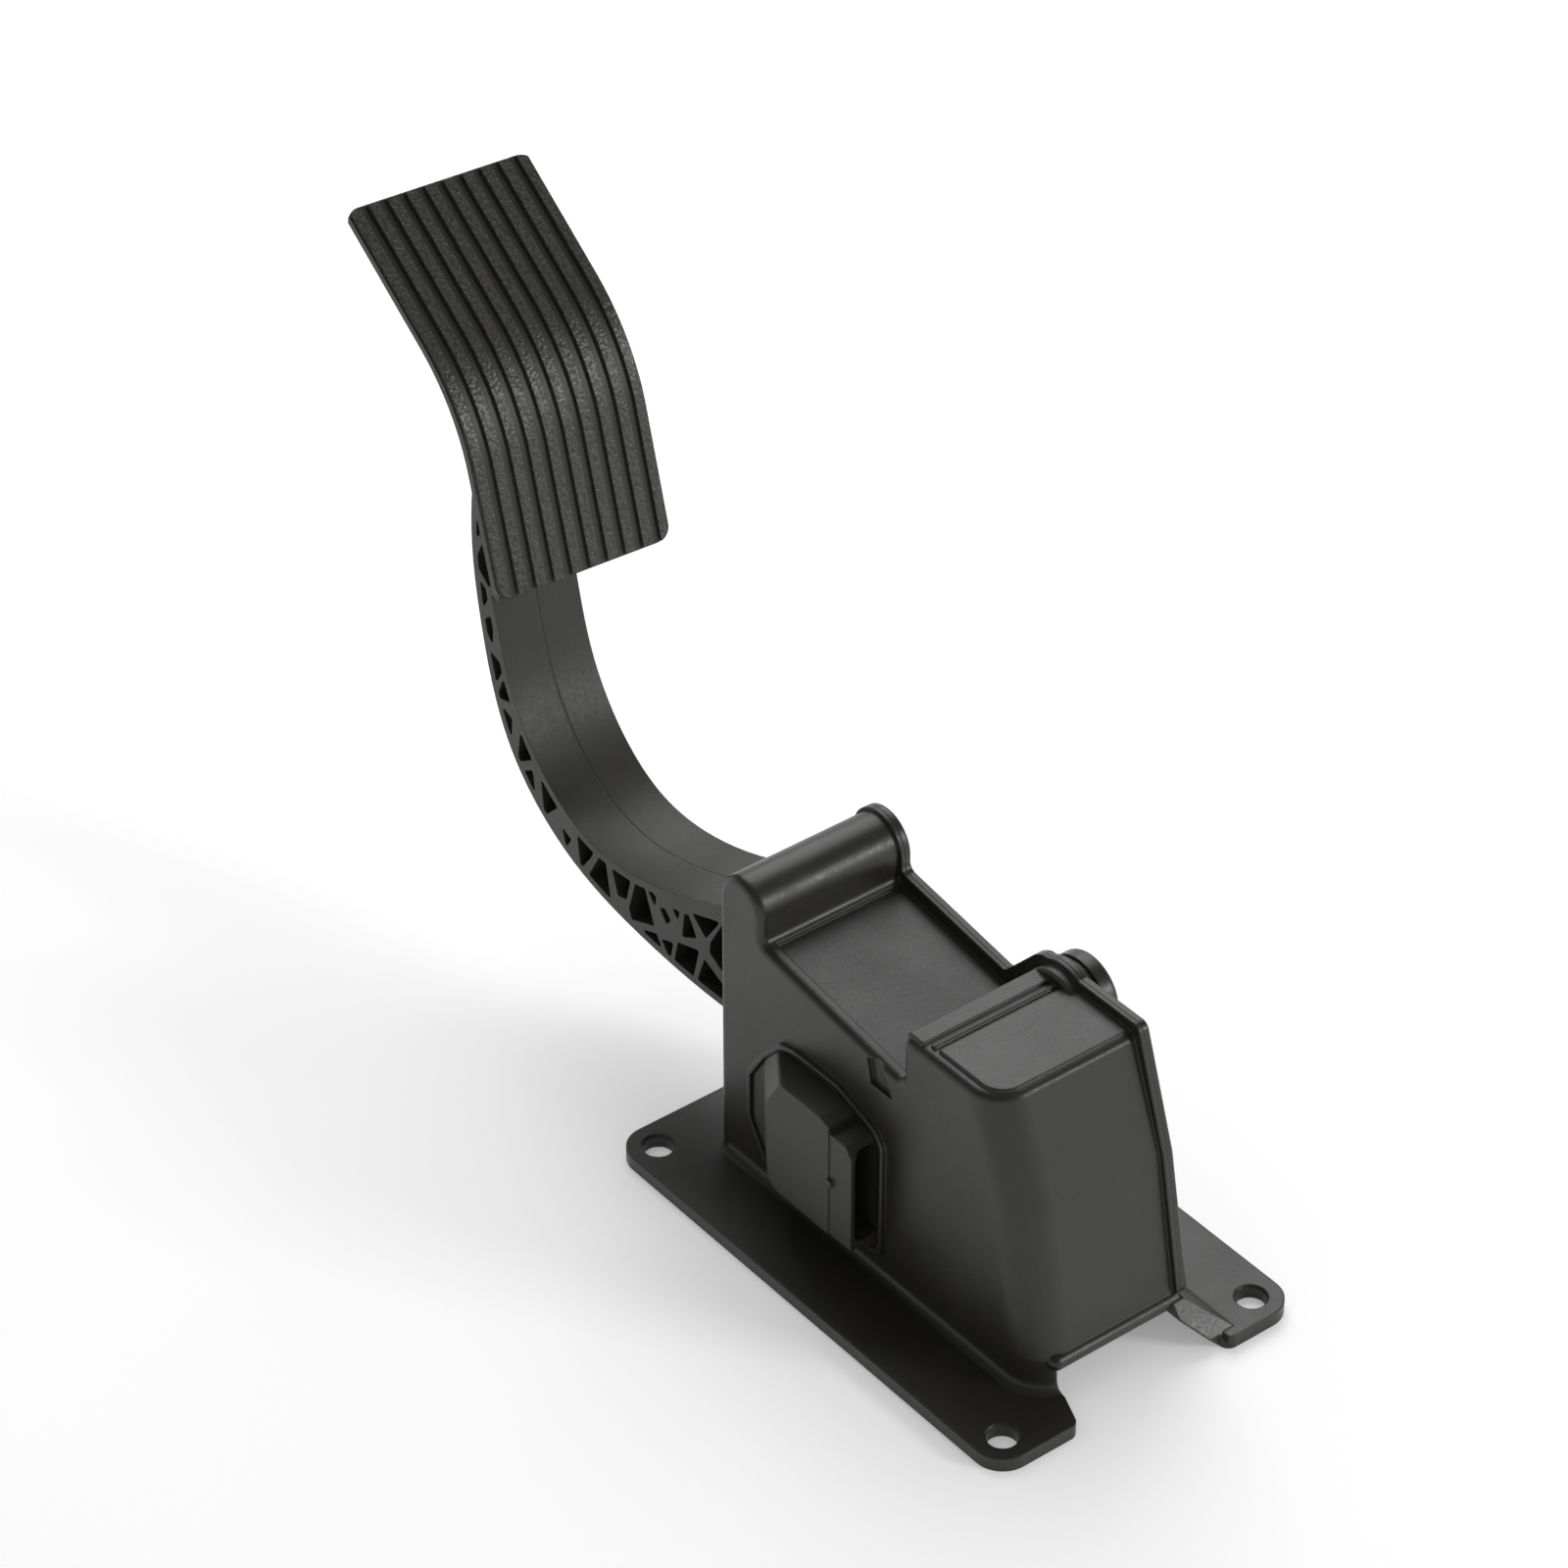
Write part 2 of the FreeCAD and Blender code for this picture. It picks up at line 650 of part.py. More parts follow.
def side_cover():
    outer_face = joint + size("cover_thick")
    plate = across_prism(as_face(flange_outline()), joint, outer_face)
    plate = fillet_where(plate, 0.7, lambda edge: edge.BoundBox.XMin > outer_face - 0.01)
    groove_end = outer_face + 0.3 * size("dome_height")
    dome_end = outer_face + size("dome_height")
    ear = across_rod(size("dome_radius") + 1.2, size("dome_back"), size("dome_top"), joint, outer_face)
    ear = fillet_where(ear, 0.7, lambda edge: edge.BoundBox.XMin > outer_face - 0.01)
    neck = across_rod(size("dome_radius") - 0.8, size("dome_back"), size("dome_top"), joint, groove_end + 0.5)
    dome = across_rod(size("dome_radius"), size("dome_back"), size("dome_top"), groove_end, dome_end)
    dome = fillet_where(dome, 1.6, lambda edge: edge.BoundBox.XMin > dome_end - 0.01)
    boss = across_rod(roll_inner - 0.6, pivot_back, pivot_height, hub_right + size("side_gap")
                      + size("bush_flange"), joint + 0.5)
    plate = plate.fuse([ear, neck, dome, boss] + guide_rails(joint, -size("rail_height"),
                                                             ceiling - size("part_gap")))
    plate = plate.cut(across_rod(size("shaft_radius") + size("seat_gap"), pivot_back, pivot_height,
                                 0, joint + 1.2))
    plate = plate.cut(Part.makeCompound(screw_bores(joint - 1, outer_face + 1,
                                                    size("screw_shank") / 2 + size("part_gap"))))
    return plate.removeSplitter()


def cover_screws():
    outer_face = joint + size("cover_thick")
    screws = []
    for back, up in screw_places():
        shank = across_rod(size("screw_shank") / 2, back, up, outer_face - size("screw_length") - 1.2,
                           outer_face + 0.5)
        head = across_rod(size("screw_head") / 2, back, up, outer_face, outer_face + 2.6)
        head = fillet_where(head, 1.0, lambda edge: edge.BoundBox.XMin > outer_face + 2.59)
        slot = Part.makeBox(1.6, 0.9, 4.4, Vector(outer_face + 1.2, back - 0.45, up - 2.2))
        cross = Part.makeBox(1.6, 4.4, 0.9, Vector(outer_face + 1.2, back - 2.2, up - 0.45))
        screws.append(shank.fuse(head).cut(slot.fuse(cross)).removeSplitter())
    return Part.makeCompound(screws)


# Pivot shaft and its two bushes

def pivot_shaft():
    body = new_body("pivot_shaft")
    place_body(body, "0 mm", "Sizes.pivot_back", "Sizes.pivot_height")
    sketch = new_sketch(body, "ShaftHalf", "XY_Plane")
    start = "-Sizes.body_left + 1.6"
    stop = "Sizes.body_joint + 1"
    radius = "Sizes.shaft_radius"
    add_polygon(sketch, [(start, "0"), (stop, "0"), (stop, radius + " - 0.5"), (stop + " - 0.5", radius),
                         (start + " + 0.5", radius), (start, radius + " - 0.5")])
    revolve(body, sketch, "H_Axis")
    return body


def pivot_bush(label, face, direction):
    """Flanged bush; its flange lies outside the hub's end at the given face."""
    body = new_body(label)
    place_body(body, face, "Sizes.pivot_back", "Sizes.pivot_height")
    sketch = new_sketch(body, label + "Half", "XY_Plane")
    inside = "%s * Sizes.bush_length" % direction
    outside = "-(%s) * Sizes.bush_flange" % direction
    bore = "Sizes.shaft_radius + Sizes.run_gap"
    shell = "Sizes.bush_radius"
    brim = "Sizes.hub_radius - 0.2"
    add_polygon(sketch, [(outside, bore), (inside, bore), (inside, shell), ("0", shell),
                         ("0", brim), (outside, brim)])
    revolve(body, sketch, "H_Axis")
    return body


# Arm

def arm_curve(points):
    curve = Part.BSplineCurve()
    curve.interpolate([side_point(back, up) for back, up in points])
    return curve


INNER_CURVE = [(62.0, 79.0), (85.3, 68.9), (111.5, 60.6), (138.3, 61.2), (158.0, 75.0), (169.2, 94.0),
               (174.2, 112.1), (175.8, 119.0)]
OUTER_CURVE = [(60.0, 40.6), (81.4, 39.6), (112.0, 41.5), (143.2, 49.3), (168.8, 70.5), (180.7, 104.0),
               (184.0, 129.2), (183.4, 146.0)]

# Openings of the truss from the housing to the tread; corners beside the bands lie under them
TRUSS_CELLS = [
    [(87.0, 63.5), (74.5, 68.0), (81.0, 58.5)],
    [(68.5, 70.0), (73.5, 68.0), (79.0, 58.3), (79.4, 54.7), (68.5, 48.5)],
    [(81.7, 51.0), (68.5, 45.0), (67.0, 40.5), (85.5, 40.5)],
    [(93.5, 49.5), (84.0, 52.5), (87.0, 40.5), (95.5, 41.0)],
    [(90.5, 61.0), (88.5, 62.0), (85.0, 56.0), (91.5, 52.5)],
    [(101.5, 56.5), (99.0, 57.5), (96.5, 55.0), (98.5, 52.5)],
    [(96.0, 60.0), (92.3, 60.5), (93.5, 57.0)],
    [(108.0, 60.5), (103.0, 59.3), (103.3, 55.3)],
    [(112.0, 59.5), (108.5, 60.5), (104.0, 48.5), (114.3, 44.5), (115.5, 47.5)],
    [(114.0, 42.5), (103.0, 46.5), (99.5, 41.0)],
    [(101.0, 46.0), (95.5, 48.0), (97.0, 41.0)],
    [(123.5, 58.5), (114.0, 59.5), (116.5, 50.0), (120.5, 49.0)],
    [(128.0, 58.5), (126.0, 58.5), (123.5, 44.0), (134.5, 47.0)],
    [(120.0, 46.2), (118.5, 46.3), (117.0, 43.0), (120.5, 43.0)],
    [(139.0, 60.5), (130.5, 58.5), (133.0, 54.0), (137.5, 48.0)],
    [(142.0, 49.5), (139.5, 52.5), (138.0, 48.0)],
    [(146.0, 57.5), (141.5, 55.5), (144.0, 51.5)],
    [(152.0, 55.0), (148.5, 58.0), (148.5, 53.0)],
    [(155.5, 71.0), (146.5, 64.0), (154.0, 56.5)],
    [(164.5, 66.0), (159.0, 69.0), (157.5, 58.5)],
    [(164.0, 81.5), (157.5, 73.5), (166.0, 68.0)],
    [(174.5, 84.0), (168.0, 81.5), (168.5, 71.5)],
    [(170.5, 95.5), (167.0, 87.0), (175.0, 85.0)],
    [(179.0, 100.0), (171.0, 97.0), (176.0, 87.5)],
    [(180.5, 108.0), (175.0, 112.5), (176.0, 101.5)],
    [(183.0, 122.5), (176.5, 118.0), (181.0, 110.0)],
    [(177.0, 138.5), (174.0, 126.5), (176.0, 120.0), (183.0, 126.0)],
    [(183.0, 143.5), (178.5, 140.0), (183.0, 130.0)],
]


def arm_side():
    """Outline of the arm outside the housing, as a face in the side view."""
    inner = arm_curve(INNER_CURVE)
    outer = arm_curve(OUTER_CURVE)
    inner_end = side_point(*INNER_CURVE[-1])
    outer_end = side_point(*OUTER_CURVE[-1])
    inside_plate = -tread_depth() - size("plate_thick") / 3
    tread_start = tread_path_point(0.0, inside_plate)
    tread_end = tread_path_point(0.33, inside_plate)
    edges = [inner.toShape(), Part.LineSegment(inner_end, tread_start).toShape()]
    edges.append(Part.LineSegment(tread_start, tread_end).toShape())
    edges.append(Part.LineSegment(tread_end, outer_end).toShape())
    edges.append(outer.toShape())
    edges.append(Part.LineSegment(side_point(*OUTER_CURVE[0]), side_point(*INNER_CURVE[0])).toShape())
    return Part.Face(Part.Wire(Part.__sortEdges__(edges)))


LEVER_TOP = [(51.5, 80.0), (40.0, 70.0), (20.0, 59.0), (0.0, 50.0), (-12.0, 44.0)]


def lever_side():
    """Outline of the part of the arm inside the housing."""
    nose_back = -size("nose_forward")
    nose_up = size("nose_height")
    radius = size("lever_nose")
    neck_back = rear_edge - wall - 0.9
    points = [INNER_CURVE[0], (neck_back, INNER_CURVE[0][1] + 1.5), (neck_back, pivot_height),
              (pivot_back - 4.0, pivot_height - 4.0)]
    points += LEVER_TOP
    points += [(nose_back, nose_up + radius - 2.0), (nose_back, nose_up - radius),
               (0.0, nose_up - radius), (30.0, nose_up - radius + 1.0), OUTER_CURVE[0]]
    tip = Part.Face(Part.Wire(Part.makeCircle(radius, side_point(nose_back, nose_up), Vector(1, 0, 0))))
    return as_face(side_face(points).fuse(tip).removeSplitter())


def pressed(back, up):
    """Where a point of the arm lies at the end of its travel."""
    turn = math.radians(size("arm_travel"))
    out, over = back - pivot_back, up - pivot_height
    return (pivot_back + out * math.cos(turn) + over * math.sin(turn),
            pivot_height - out * math.sin(turn) + over * math.cos(turn))


def lever_top_pressed(back):
    """Height of the lever's top under a place, at the end of its travel."""
    places = sorted(pressed(*place) for place in LEVER_TOP)
    for (near, low), (far, high) in zip(places, places[1:]):
        if near <= back <= far:
            return low + (high - low) * (back - near) / (far - near)
    return places[0][1]


def strut_face(start, stop, width):
    along = (stop - start).normalize()
    side = Vector(0, -along.z, along.y) * (width / 2)
    corners = [start + side, stop + side, stop - side, start - side]
    return Part.Face(Part.makePolygon(corners + corners[:1]))


def plain_outline(face):
    """The same outline in straight and round stretches, without the tiny ones, or None if it is too small."""
    spans = []
    for edge in face.OuterWire.OrderedEdges:
        if edge.Length > 0.4:
            middle = edge.valueAt(edge.getParameterByLength(edge.Length / 2))
            spans.append((edge.firstVertex(True).Point, middle, edge.Length > 3.0))
    if len(spans) < 3:
        return None
    edges = []
    for index, (start, middle, long) in enumerate(spans):
        stop = spans[(index + 1) % len(spans)][0]
        off_line = middle.distanceToLine(start, stop - start)
        if long and off_line > 0.02:
            edges.append(Part.Arc(start, middle, stop).toShape())
        else:
            edges.append(Part.LineSegment(start, stop).toShape())
    return Part.Face(Part.Wire(edges))


def soft_opening(face):
    """The opening with plain sides and soft corners; nothing where it is too narrow for them."""
    if 2 * face.Area / face.OuterWire.Length < 1.4 * size("pocket_round"):
        return []
    plain = plain_outline(face)
    return round_convex(plain, size("pocket_round")).Faces if plain is not None else []


def arm_pockets():
    window = as_face(arm_side().makeOffset2D(-size("arm_flange")))
    pockets = []
    for cell in TRUSS_CELLS:
        for face in side_face(cell).common(window).Faces:
            pockets.extend(soft_opening(face))
    return pockets


def lever_pockets():
    window = as_face(lever_side().makeOffset2D(-3.0))
    struts = [strut_face(side_point(45.0, 82.0), side_point(75.0, 76.0), size("strut_width"))]
    for back in range(-12, 48, 12):
        for foot, head in ((back, back + 11.0), (back + 12.0, back)):
            struts.append(strut_face(side_point(foot, 20.0), side_point(head, 90.0), size("strut_width")))
    pockets = []
    for face in window.cut(struts).Faces:
        if face.Area > 7.0:
            pockets.extend(soft_opening(face))
    return pockets


def tread_depth():
    return size("tread_base") + size("rib_height")


def tread_path_point(share, offset):
    """Point beside the tread's face line; a positive offset is towards the driver."""
    lower = size("tread_lower")
    upper = size("tread_upper")
    bend = math.radians(size("tread_bend"))
    lean = math.radians(size("tread_lean"))
    radius = size("tread_radius")
    cut_off = radius * math.tan(bend / 2)
    straight_low = lower - cut_off
    arc = radius * bend
    total = straight_low + arc + upper - cut_off
    run = share * total
    start = Vector(0, size("tread_foot_back"), size("tread_foot_height"))
    along = Vector(0, math.cos(lean), math.sin(lean))
    facing = Vector(0, -math.sin(lean), math.cos(lean))
    if run <= straight_low:
        return start + along * run + facing * offset
    centre = start + along * straight_low - facing * radius
    turned = min(run - straight_low, arc) / radius
    heading = lean - turned
    facing_here = Vector(0, -math.sin(heading), math.cos(heading))
    place = centre + facing_here * radius
    if run > straight_low + arc:
        place = place + Vector(0, math.cos(heading), math.sin(heading)) * (run - straight_low - arc)
    return place + facing_here * offset


def bend_shares():
    """Shares of the face line where the bend starts and stops."""
    bend = math.radians(size("tread_bend"))
    cut_off = size("tread_radius") * math.tan(bend / 2)
    total = size("tread_lower") + size("tread_upper") - 2 * cut_off + size("tread_radius") * bend
    return ((size("tread_lower") - cut_off) / total,
            (size("tread_lower") - cut_off + size("tread_radius") * bend) / total)


def tread_line(offset, first=0.0, last=1.0):
    """Edges of the line beside the tread's face: straight, bend, straight."""
    start_bend, stop_bend = bend_shares()
    middle = (start_bend + stop_bend) / 2
    edges = [Part.LineSegment(tread_path_point(first, offset),
                              tread_path_point(start_bend, offset)).toShape(),
             Part.Arc(tread_path_point(start_bend, offset), tread_path_point(middle, offset),
                      tread_path_point(stop_bend, offset)).toShape(),
             Part.LineSegment(tread_path_point(stop_bend, offset),
                              tread_path_point(last, offset)).toShape()]
    return edges


def tread_strip(near, far, first=0.0, last=1.0):
    """Side-view face between two offsets from the tread's face line."""
    ends = [Part.LineSegment(tread_path_point(first, near), tread_path_point(first, far)).toShape(),
            Part.LineSegment(tread_path_point(last, near), tread_path_point(last, far)).toShape()]
    edges = tread_line(near, first, last) + tread_line(far, first, last) + ends
    return Part.Face(Part.Wire(Part.__sortEdges__(edges)))


def tread_room(margin):
    """Room inside the tread's outline: skewed ends, a flare at the top and four rounded corners."""
    lean = size("tread_lean")
    width = size("tread_width")
    skew = math.tan(math.radians(size("tread_skew"))) * width / 2
    flare = size("tread_flare")
    side = margin
    far = width - margin
    lower = [(side, margin + skew), (far, margin - skew), (far, 150.0), (side, 150.0)]
    upper = [(side - flare, -margin + skew), (side, -size("tread_upper")), (side, -150.0), (far, -150.0),
             (far, -size("tread_upper")), (far + flare, -margin - skew)]
    rooms = []
    for share, heading, outline, ends in ((0.0, lean, lower, lower[:2]),
                                          (1.0, lean - size("tread_bend"), upper, [upper[0], upper[-1]])):
        corners = [Vector(across, along, -70.0) for across, along in outline]
        box = Part.Face(Part.makePolygon(corners + corners[:1])).extrude(Vector(0, 0, 110.0))
        box = fillet_where(box, size("tread_corner") - margin, lambda edge: is_upright_at(edge, ends))
        place = tread_path_point(share, 0.0)
        box.Placement = Placement(Vector(-size("tread_left"), place.y, place.z),
                                  Rotation(Vector(1, 0, 0), heading))
        rooms.append(box)
    return rooms[0].common(rooms[1])


def is_upright_at(edge, places):
    box = edge.BoundBox
    return box.ZLength > 50 and any(abs(box.XMin - across) < 0.01 and abs(box.YMin - along) < 0.01
                                    for across, along in places)


def hub_shell():
    return across_rod(size("hub_radius"), pivot_back, pivot_height, hub_left, hub_right)


def pedal_arm():
    left = -size("arm_left")
    outside = across_prism(arm_side(), left, arm_right)
    inside = across_prism(lever_side(), lever_left, lever_right)
    plate = across_prism(tread_strip(-tread_depth(), -tread_depth() - size("plate_thick"), -0.03, 1.02),
                         -size("tread_left") - size("tread_flare"),
                         -size("tread_left") + size("tread_width") + size("tread_flare"))
    plate = plate.common(tread_room(size("plate_margin")))
    web_left = arm_middle - size("arm_web") / 2
    web_right = arm_middle + size("arm_web") / 2
    cuts = []
    for face in arm_pockets():
        cuts.append(across_prism(face, left - 1, web_left))
        cuts.append(across_prism(face, web_right, arm_right + 1))
    for face in lever_pockets():
        cuts.append(across_prism(face, lever_left - 1, web_left))
        cuts.append(across_prism(face, web_right, lever_right + 1))
    solid = outside.fuse(inside).cut(Part.makeCompound(cuts))
    solid = solid.fuse(magnet_boss())
    solid = solid.fuse([hub_shell(), plate] + plate_ribs())
    bore = across_rod(size("bush_radius") + size("seat_gap"), pivot_back, pivot_height,
                      hub_left - 1, hub_right + 1)
    solid = solid.cut(bore)
    solid = solid.cut(Part.makeCompound(tread_studs(size("part_gap"))))
    solid = solid.cut(magnet_box(size("seat_gap")))
    return solid.removeSplitter()


def plate_ribs():
    """Low ribs that stiffen the back of the tread plate."""
    back = -tread_depth() - size("plate_thick") + 0.3
    ribs = []
    shares = [0.05, 0.20, 0.30, 0.36, 0.42, 0.48, 0.54, 0.62, 0.94]
    for across in (arm_middle - 8.0, arm_middle + 8.0, arm_right + 9.0, arm_right + 20.0):
        points = [tread_path_point(share, back) for share in shares]
        points += [tread_path_point(share, back - size("plate_rib")) for share in (0.86, 0.62, 0.45, 0.20)]
        ribs.append(across_prism(Part.Face(Part.makePolygon(points + points[:1])), across - 1.0, across + 1.0))
    for share in (0.12, 0.40, 0.62, 0.84):
        face = strut_face(tread_path_point(share, back), tread_path_point(share, back - 0.8 * size("plate_rib")), 2.0)
        ribs.append(across_prism(face, arm_middle - 8.0, arm_right + 25.0))
    return ribs


def magnet_box(grow):
    return block(lever_left - 1.5, lever_left + size("magnet_thick") - 1.5 + grow,
                 magnet_back() - size("magnet_length") / 2 - grow,
                 magnet_back() + size("magnet_length") / 2 + grow,
                 magnet_up() - size("magnet_height") / 2 - grow,
                 magnet_up() + size("magnet_height") / 2 + grow)


def magnet_boss():
    reach_y = size("magnet_length") / 2 + 1.5
    reach_z = size("magnet_height") / 2 + 1.5
    return block(lever_left, arm_middle, magnet_back() - reach_y, magnet_back() + reach_y,
                 magnet_up() - reach_z, magnet_up() + reach_z)


def magnet_back():
    return 24.0


def magnet_up():
    return 43.0


# Tread

def tread_studs(grow):
    """Studs on the back of the tread that hold it in the plate."""
    studs = []
    depth = tread_depth()
    for share, heading in ((0.12, size("tread_lean")), (0.88, size("tread_lean") - size("tread_bend"))):
        centre = tread_path_point(share, -depth + 0.4)
        facing = Vector(0, -math.sin(math.radians(heading)), math.cos(math.radians(heading)))
        for across in (-8.0, 25.0):
            studs.append(Part.makeCylinder(2.5 + grow, size("plate_thick") + 1.0 + grow,
                                           Vector(across, centre.y, centre.z), facing * -1))
    return studs


def rib_solid(across):
    """One lengthwise rib with sloping flanks, swept along the tread."""
    half_top = size("rib_top") / 2
    half_foot = half_top + size("rib_flank")
    top = 0.0
    foot = -size("rib_height") - 0.2
    start = tread_path_point(-0.03, 0.0)
    lean = math.radians(size("tread_lean"))
    facing = Vector(0, -math.sin(lean), math.cos(lean))
    corners = [start + facing * foot + Vector(across - half_foot, 0, 0),
               start + facing * top + Vector(across - half_top, 0, 0),
               start + facing * top + Vector(across + half_top, 0, 0),
               start + facing * foot + Vector(across + half_foot, 0, 0)]
    section = Part.makePolygon(corners + corners[:1])
    path = Part.Wire(Part.__sortEdges__(tread_line(0.0, -0.03, 1.02)))
    return path.makePipeShell([section], True, False)


def tread_pad():
    spare = size("tread_flare") + 1.0
    base = across_prism(tread_strip(-size("rib_height"), -tread_depth() + size("seat_gap"), -0.03, 1.02),
                        -size("tread_left") - spare, -size("tread_left") + size("tread_width") + spare)
    count = 10
    pitch = (size("tread_width") - size("rib_top") - 2 * size("rib_flank")) / (count - 1)
    first = -size("tread_left") + size("rib_top") / 2 + size("rib_flank")
    ribs = [rib_solid(first + index * pitch) for index in range(count)]
    for across in (first - spare, first + (count - 1) * pitch + spare):
        ribs.append(rib_solid(across))
    ribs = [rib.common(tread_room(0.5)) for rib in ribs]
    solid = base.common(tread_room(0.0)).fuse(ribs)
    solid = solid.fuse(tread_studs(0.0))
    return solid.removeSplitter()


# Spring cup, springs and seat

def spring_cup():
    centre = Vector(arm_middle, -size("spring_forward"), cup_low)
    brim = size("outer_spring_radius") + size("outer_wire") / 2 + 1.8
    floor = Part.makeCylinder(brim, size("cup_floor"), centre)
    rim = Part.makeCylinder(brim, size("cup_floor") + size("cup_rim"), centre)
    rim = rim.cut(Part.makeCylinder(brim - 1.5, size("cup_rim") + 1,
                                    centre + Vector(0, 0, size("cup_floor"))))
    spigot = Part.makeCylinder(size("inner_spring_radius") - size("inner_wire") / 2 - 0.3,
                               size("cup_floor") + 3.0, centre)
    half = size("rail_gap") / 2 - size("part_gap")
    tabs = block(inner_left + size("part_gap"), joint - size("part_gap"),
                 centre.y - half, centre.y + half, cup_low, cup_low + size("cup_floor") + size("cup_rim"))
    tabs = tabs.cut(Part.makeCylinder(brim - 1.0, 30, centre))
    return floor.fuse([rim, spigot, tabs]).removeSplitter()


def coil_spring(radius, wire, turns):
    """Round wire from the cup's floor to the seat, its first and last turns wound closed."""
    height = spring_top - spring_low - wire
    closed_pitch = wire + size("part_gap")
    open_pitch = (height - 2 * closed_pitch) / (turns - 2)
    points = []
    for step in range(int(turns * 8) + 1):
        turn = step / 8
        rise = min(turn, 1, turns - turn) * closed_pitch
        if turn > turns - 1:
            rise = height - rise
        elif turn > 1:
            rise += (turn - 1) * open_pitch
        angle = 2 * math.pi * turn
        points.append(Vector(arm_middle + radius * math.cos(angle),
                             radius * math.sin(angle) - size("spring_forward"),
                             spring_low + wire / 2 + rise))
    line = Part.BSplineCurve()
    line.interpolate(points)
    section = Part.Circle(points[0], Vector(0, 1, 0), wire / 2)
    return Part.Wire([line.toShape()]).makePipeShell([Part.Wire([section.toShape()])], True, True)


def spring_seat():
    body = new_body("spring_seat")
    place_body(body, "Sizes.arm_width / 2 - Sizes.arm_left", "-Sizes.spring_forward",
               "Sizes.block_height - Sizes.wall - Sizes.seat_thick")
    sketch = new_sketch(body, "SeatRing", "XY_Plane")
    add_circle(sketch, "0", "0", "Sizes.outer_spring_radius + Sizes.outer_wire / 2 + 1.2")
    add_circle(sketch, "0", "0", "Sizes.inner_spring_radius - Sizes.inner_wire / 2 - 1.5")
    pad(body, sketch, "Sizes.seat_thick")
    return body


# Stops

def idle_stop():
    """Rubber puck on its pillar, just under the resting lever."""
    puck = Part.makeCylinder(size("stop_radius"), size("idle_stop_thick"),
                             Vector(arm_middle, idle_stop_back(), idle_stop_low()))
    puck = fillet_where(puck, 1.2, lambda edge: edge.BoundBox.ZMin > idle_stop_low() + 1)
    plug = Part.makeCylinder(2.0, 4.0, Vector(arm_middle, idle_stop_back(), idle_stop_low() - 4.0))
    return puck.fuse(plug).removeSplitter()


def full_stop():
    """Rubber puck under the deck that the lever meets at the end of its travel."""
    top = full_stop_top()
    puck = Part.makeCylinder(size("stop_radius"), size("full_stop_thick"),
                             Vector(arm_middle, full_stop_back(), top - size("full_stop_thick")))
    puck = fillet_where(puck, 0.8, lambda edge: edge.BoundBox.ZMax < top - 1)
    plug = Part.makeCylinder(2.0, 2.0, Vector(arm_middle, full_stop_back(), top))
    return puck.fuse(plug).removeSplitter()


# Sensor and connector

def connector_housing():
    left = -size("body_left")
    outer = left - size("socket_depth")
    low, high = size("socket_low") + 5.0, size("socket_high") - 1.3
    back = size("socket_back") - size("shroud_slope")
    front = size("socket_front")
    base = across_prism(socket_outline(0.0), left - 0.4, left - size("seat_gap"))
    # The shroud's back slopes out to the wall and its underside slopes down to it
    face = side_face([(front - 30, low), (back - 2.5, low), (back, low + 4), (back, high - 9),
                      (back - 5.3, high), (front - 30, high)])
    face = as_face(round_convex(face, 3.0))
    face.translate(Vector(outer, 0, 0))
    shroud = face.extrude(Vector(size("socket_depth") - size("seat_gap"), size("shroud_slope") - 4.0, 0))
    under = Part.Face(Part.makePolygon([Vector(outer, front, low + 2.5), Vector(left - size("seat_gap"), front, low - 4),
                                        Vector(left - size("seat_gap"), front, low + 2.5),
                                        Vector(outer, front, low + 2.5)]))
    shroud = shroud.fuse(under.extrude(Vector(0, back - 4.0 - front, 0)))
    shroud = shroud.common(across_prism(socket_outline(0.0), outer - 1, left))
    step = block(outer - 1, left + 1, front - 1, front + 9.0, low - 6, high + 1)
    step = step.cut(block(outer + 0.4, left + 1, front - 2, front + 10.0, low - 6, high - 3.5))
    inside = inner_left + size("gasket_thick")
    flange = across_prism(socket_outline(3.5), inside, inside + 1.6)
    neck = across_prism(socket_outline(0.0), left - 0.5, inside + 0.5)
    pillars = [across_rod(2.6, rod.BoundBox.Center.y, rod.BoundBox.Center.z, inside + 1.0, board_left())
               for rod in board_bores(1.0)]
    solid = shroud.cut(step).fuse([base, above_floor(neck.fuse(flange), 0.6)] + pillars)
    thin = size("socket_wall")
    room = block(outer + thin, left - 0.6, front - 1, front + size("cavity_depth"), low + thin,
                 high - thin - 3.5)
    room = fillet_where(room, 3.0, lambda edge: edge.BoundBox.YLength > 10
                        and edge.BoundBox.XMax < outer + thin + 0.01)
    solid = solid.cut(room)
    latch = Part.makeCylinder(1.3, 1.4, Vector(outer - 0.6, front + 8.4, 35.0), Vector(1, 0, 0))
    solid = solid.fuse(latch)
    solid = solid.cut(Part.makeCompound([across_rod(1.1 + size("seat_gap"), rod.BoundBox.Center.y,
                                                    rod.BoundBox.Center.z, board_left() - 2.1, 0)
                                         for rod in board_bores(1.0)]))
    return solid.cut(Part.makeCompound(pin_solids(size("seat_gap")))).removeSplitter()


def pin_solids(grow):
    """Angled contacts: back through the wall to the board, then out towards the plug."""
    half = size("pin_width") / 2 + grow
    across = -size("body_left") - size("socket_depth") / 2 + 0.5
    turn = size("socket_front") + size("cavity_depth") + 4.0
    centre = (size("socket_low") + size("socket_high")) / 2 - 0.5
    pins = []
    for index in range(6):
        up = centre + (index - 2.5) * size("pin_pitch")
        tip = size("socket_front") + size("cavity_depth") - size("pin_reach")
        out = block(across - half, across + half, tip - grow, turn + half, up - half, up + half)
        through = block(across - half, board_left() + size("board_thick") + 0.8, turn - half, turn + half,
                        up - half, up + half)
        pins.append(out.fuse(through).removeSplitter())
    return pins


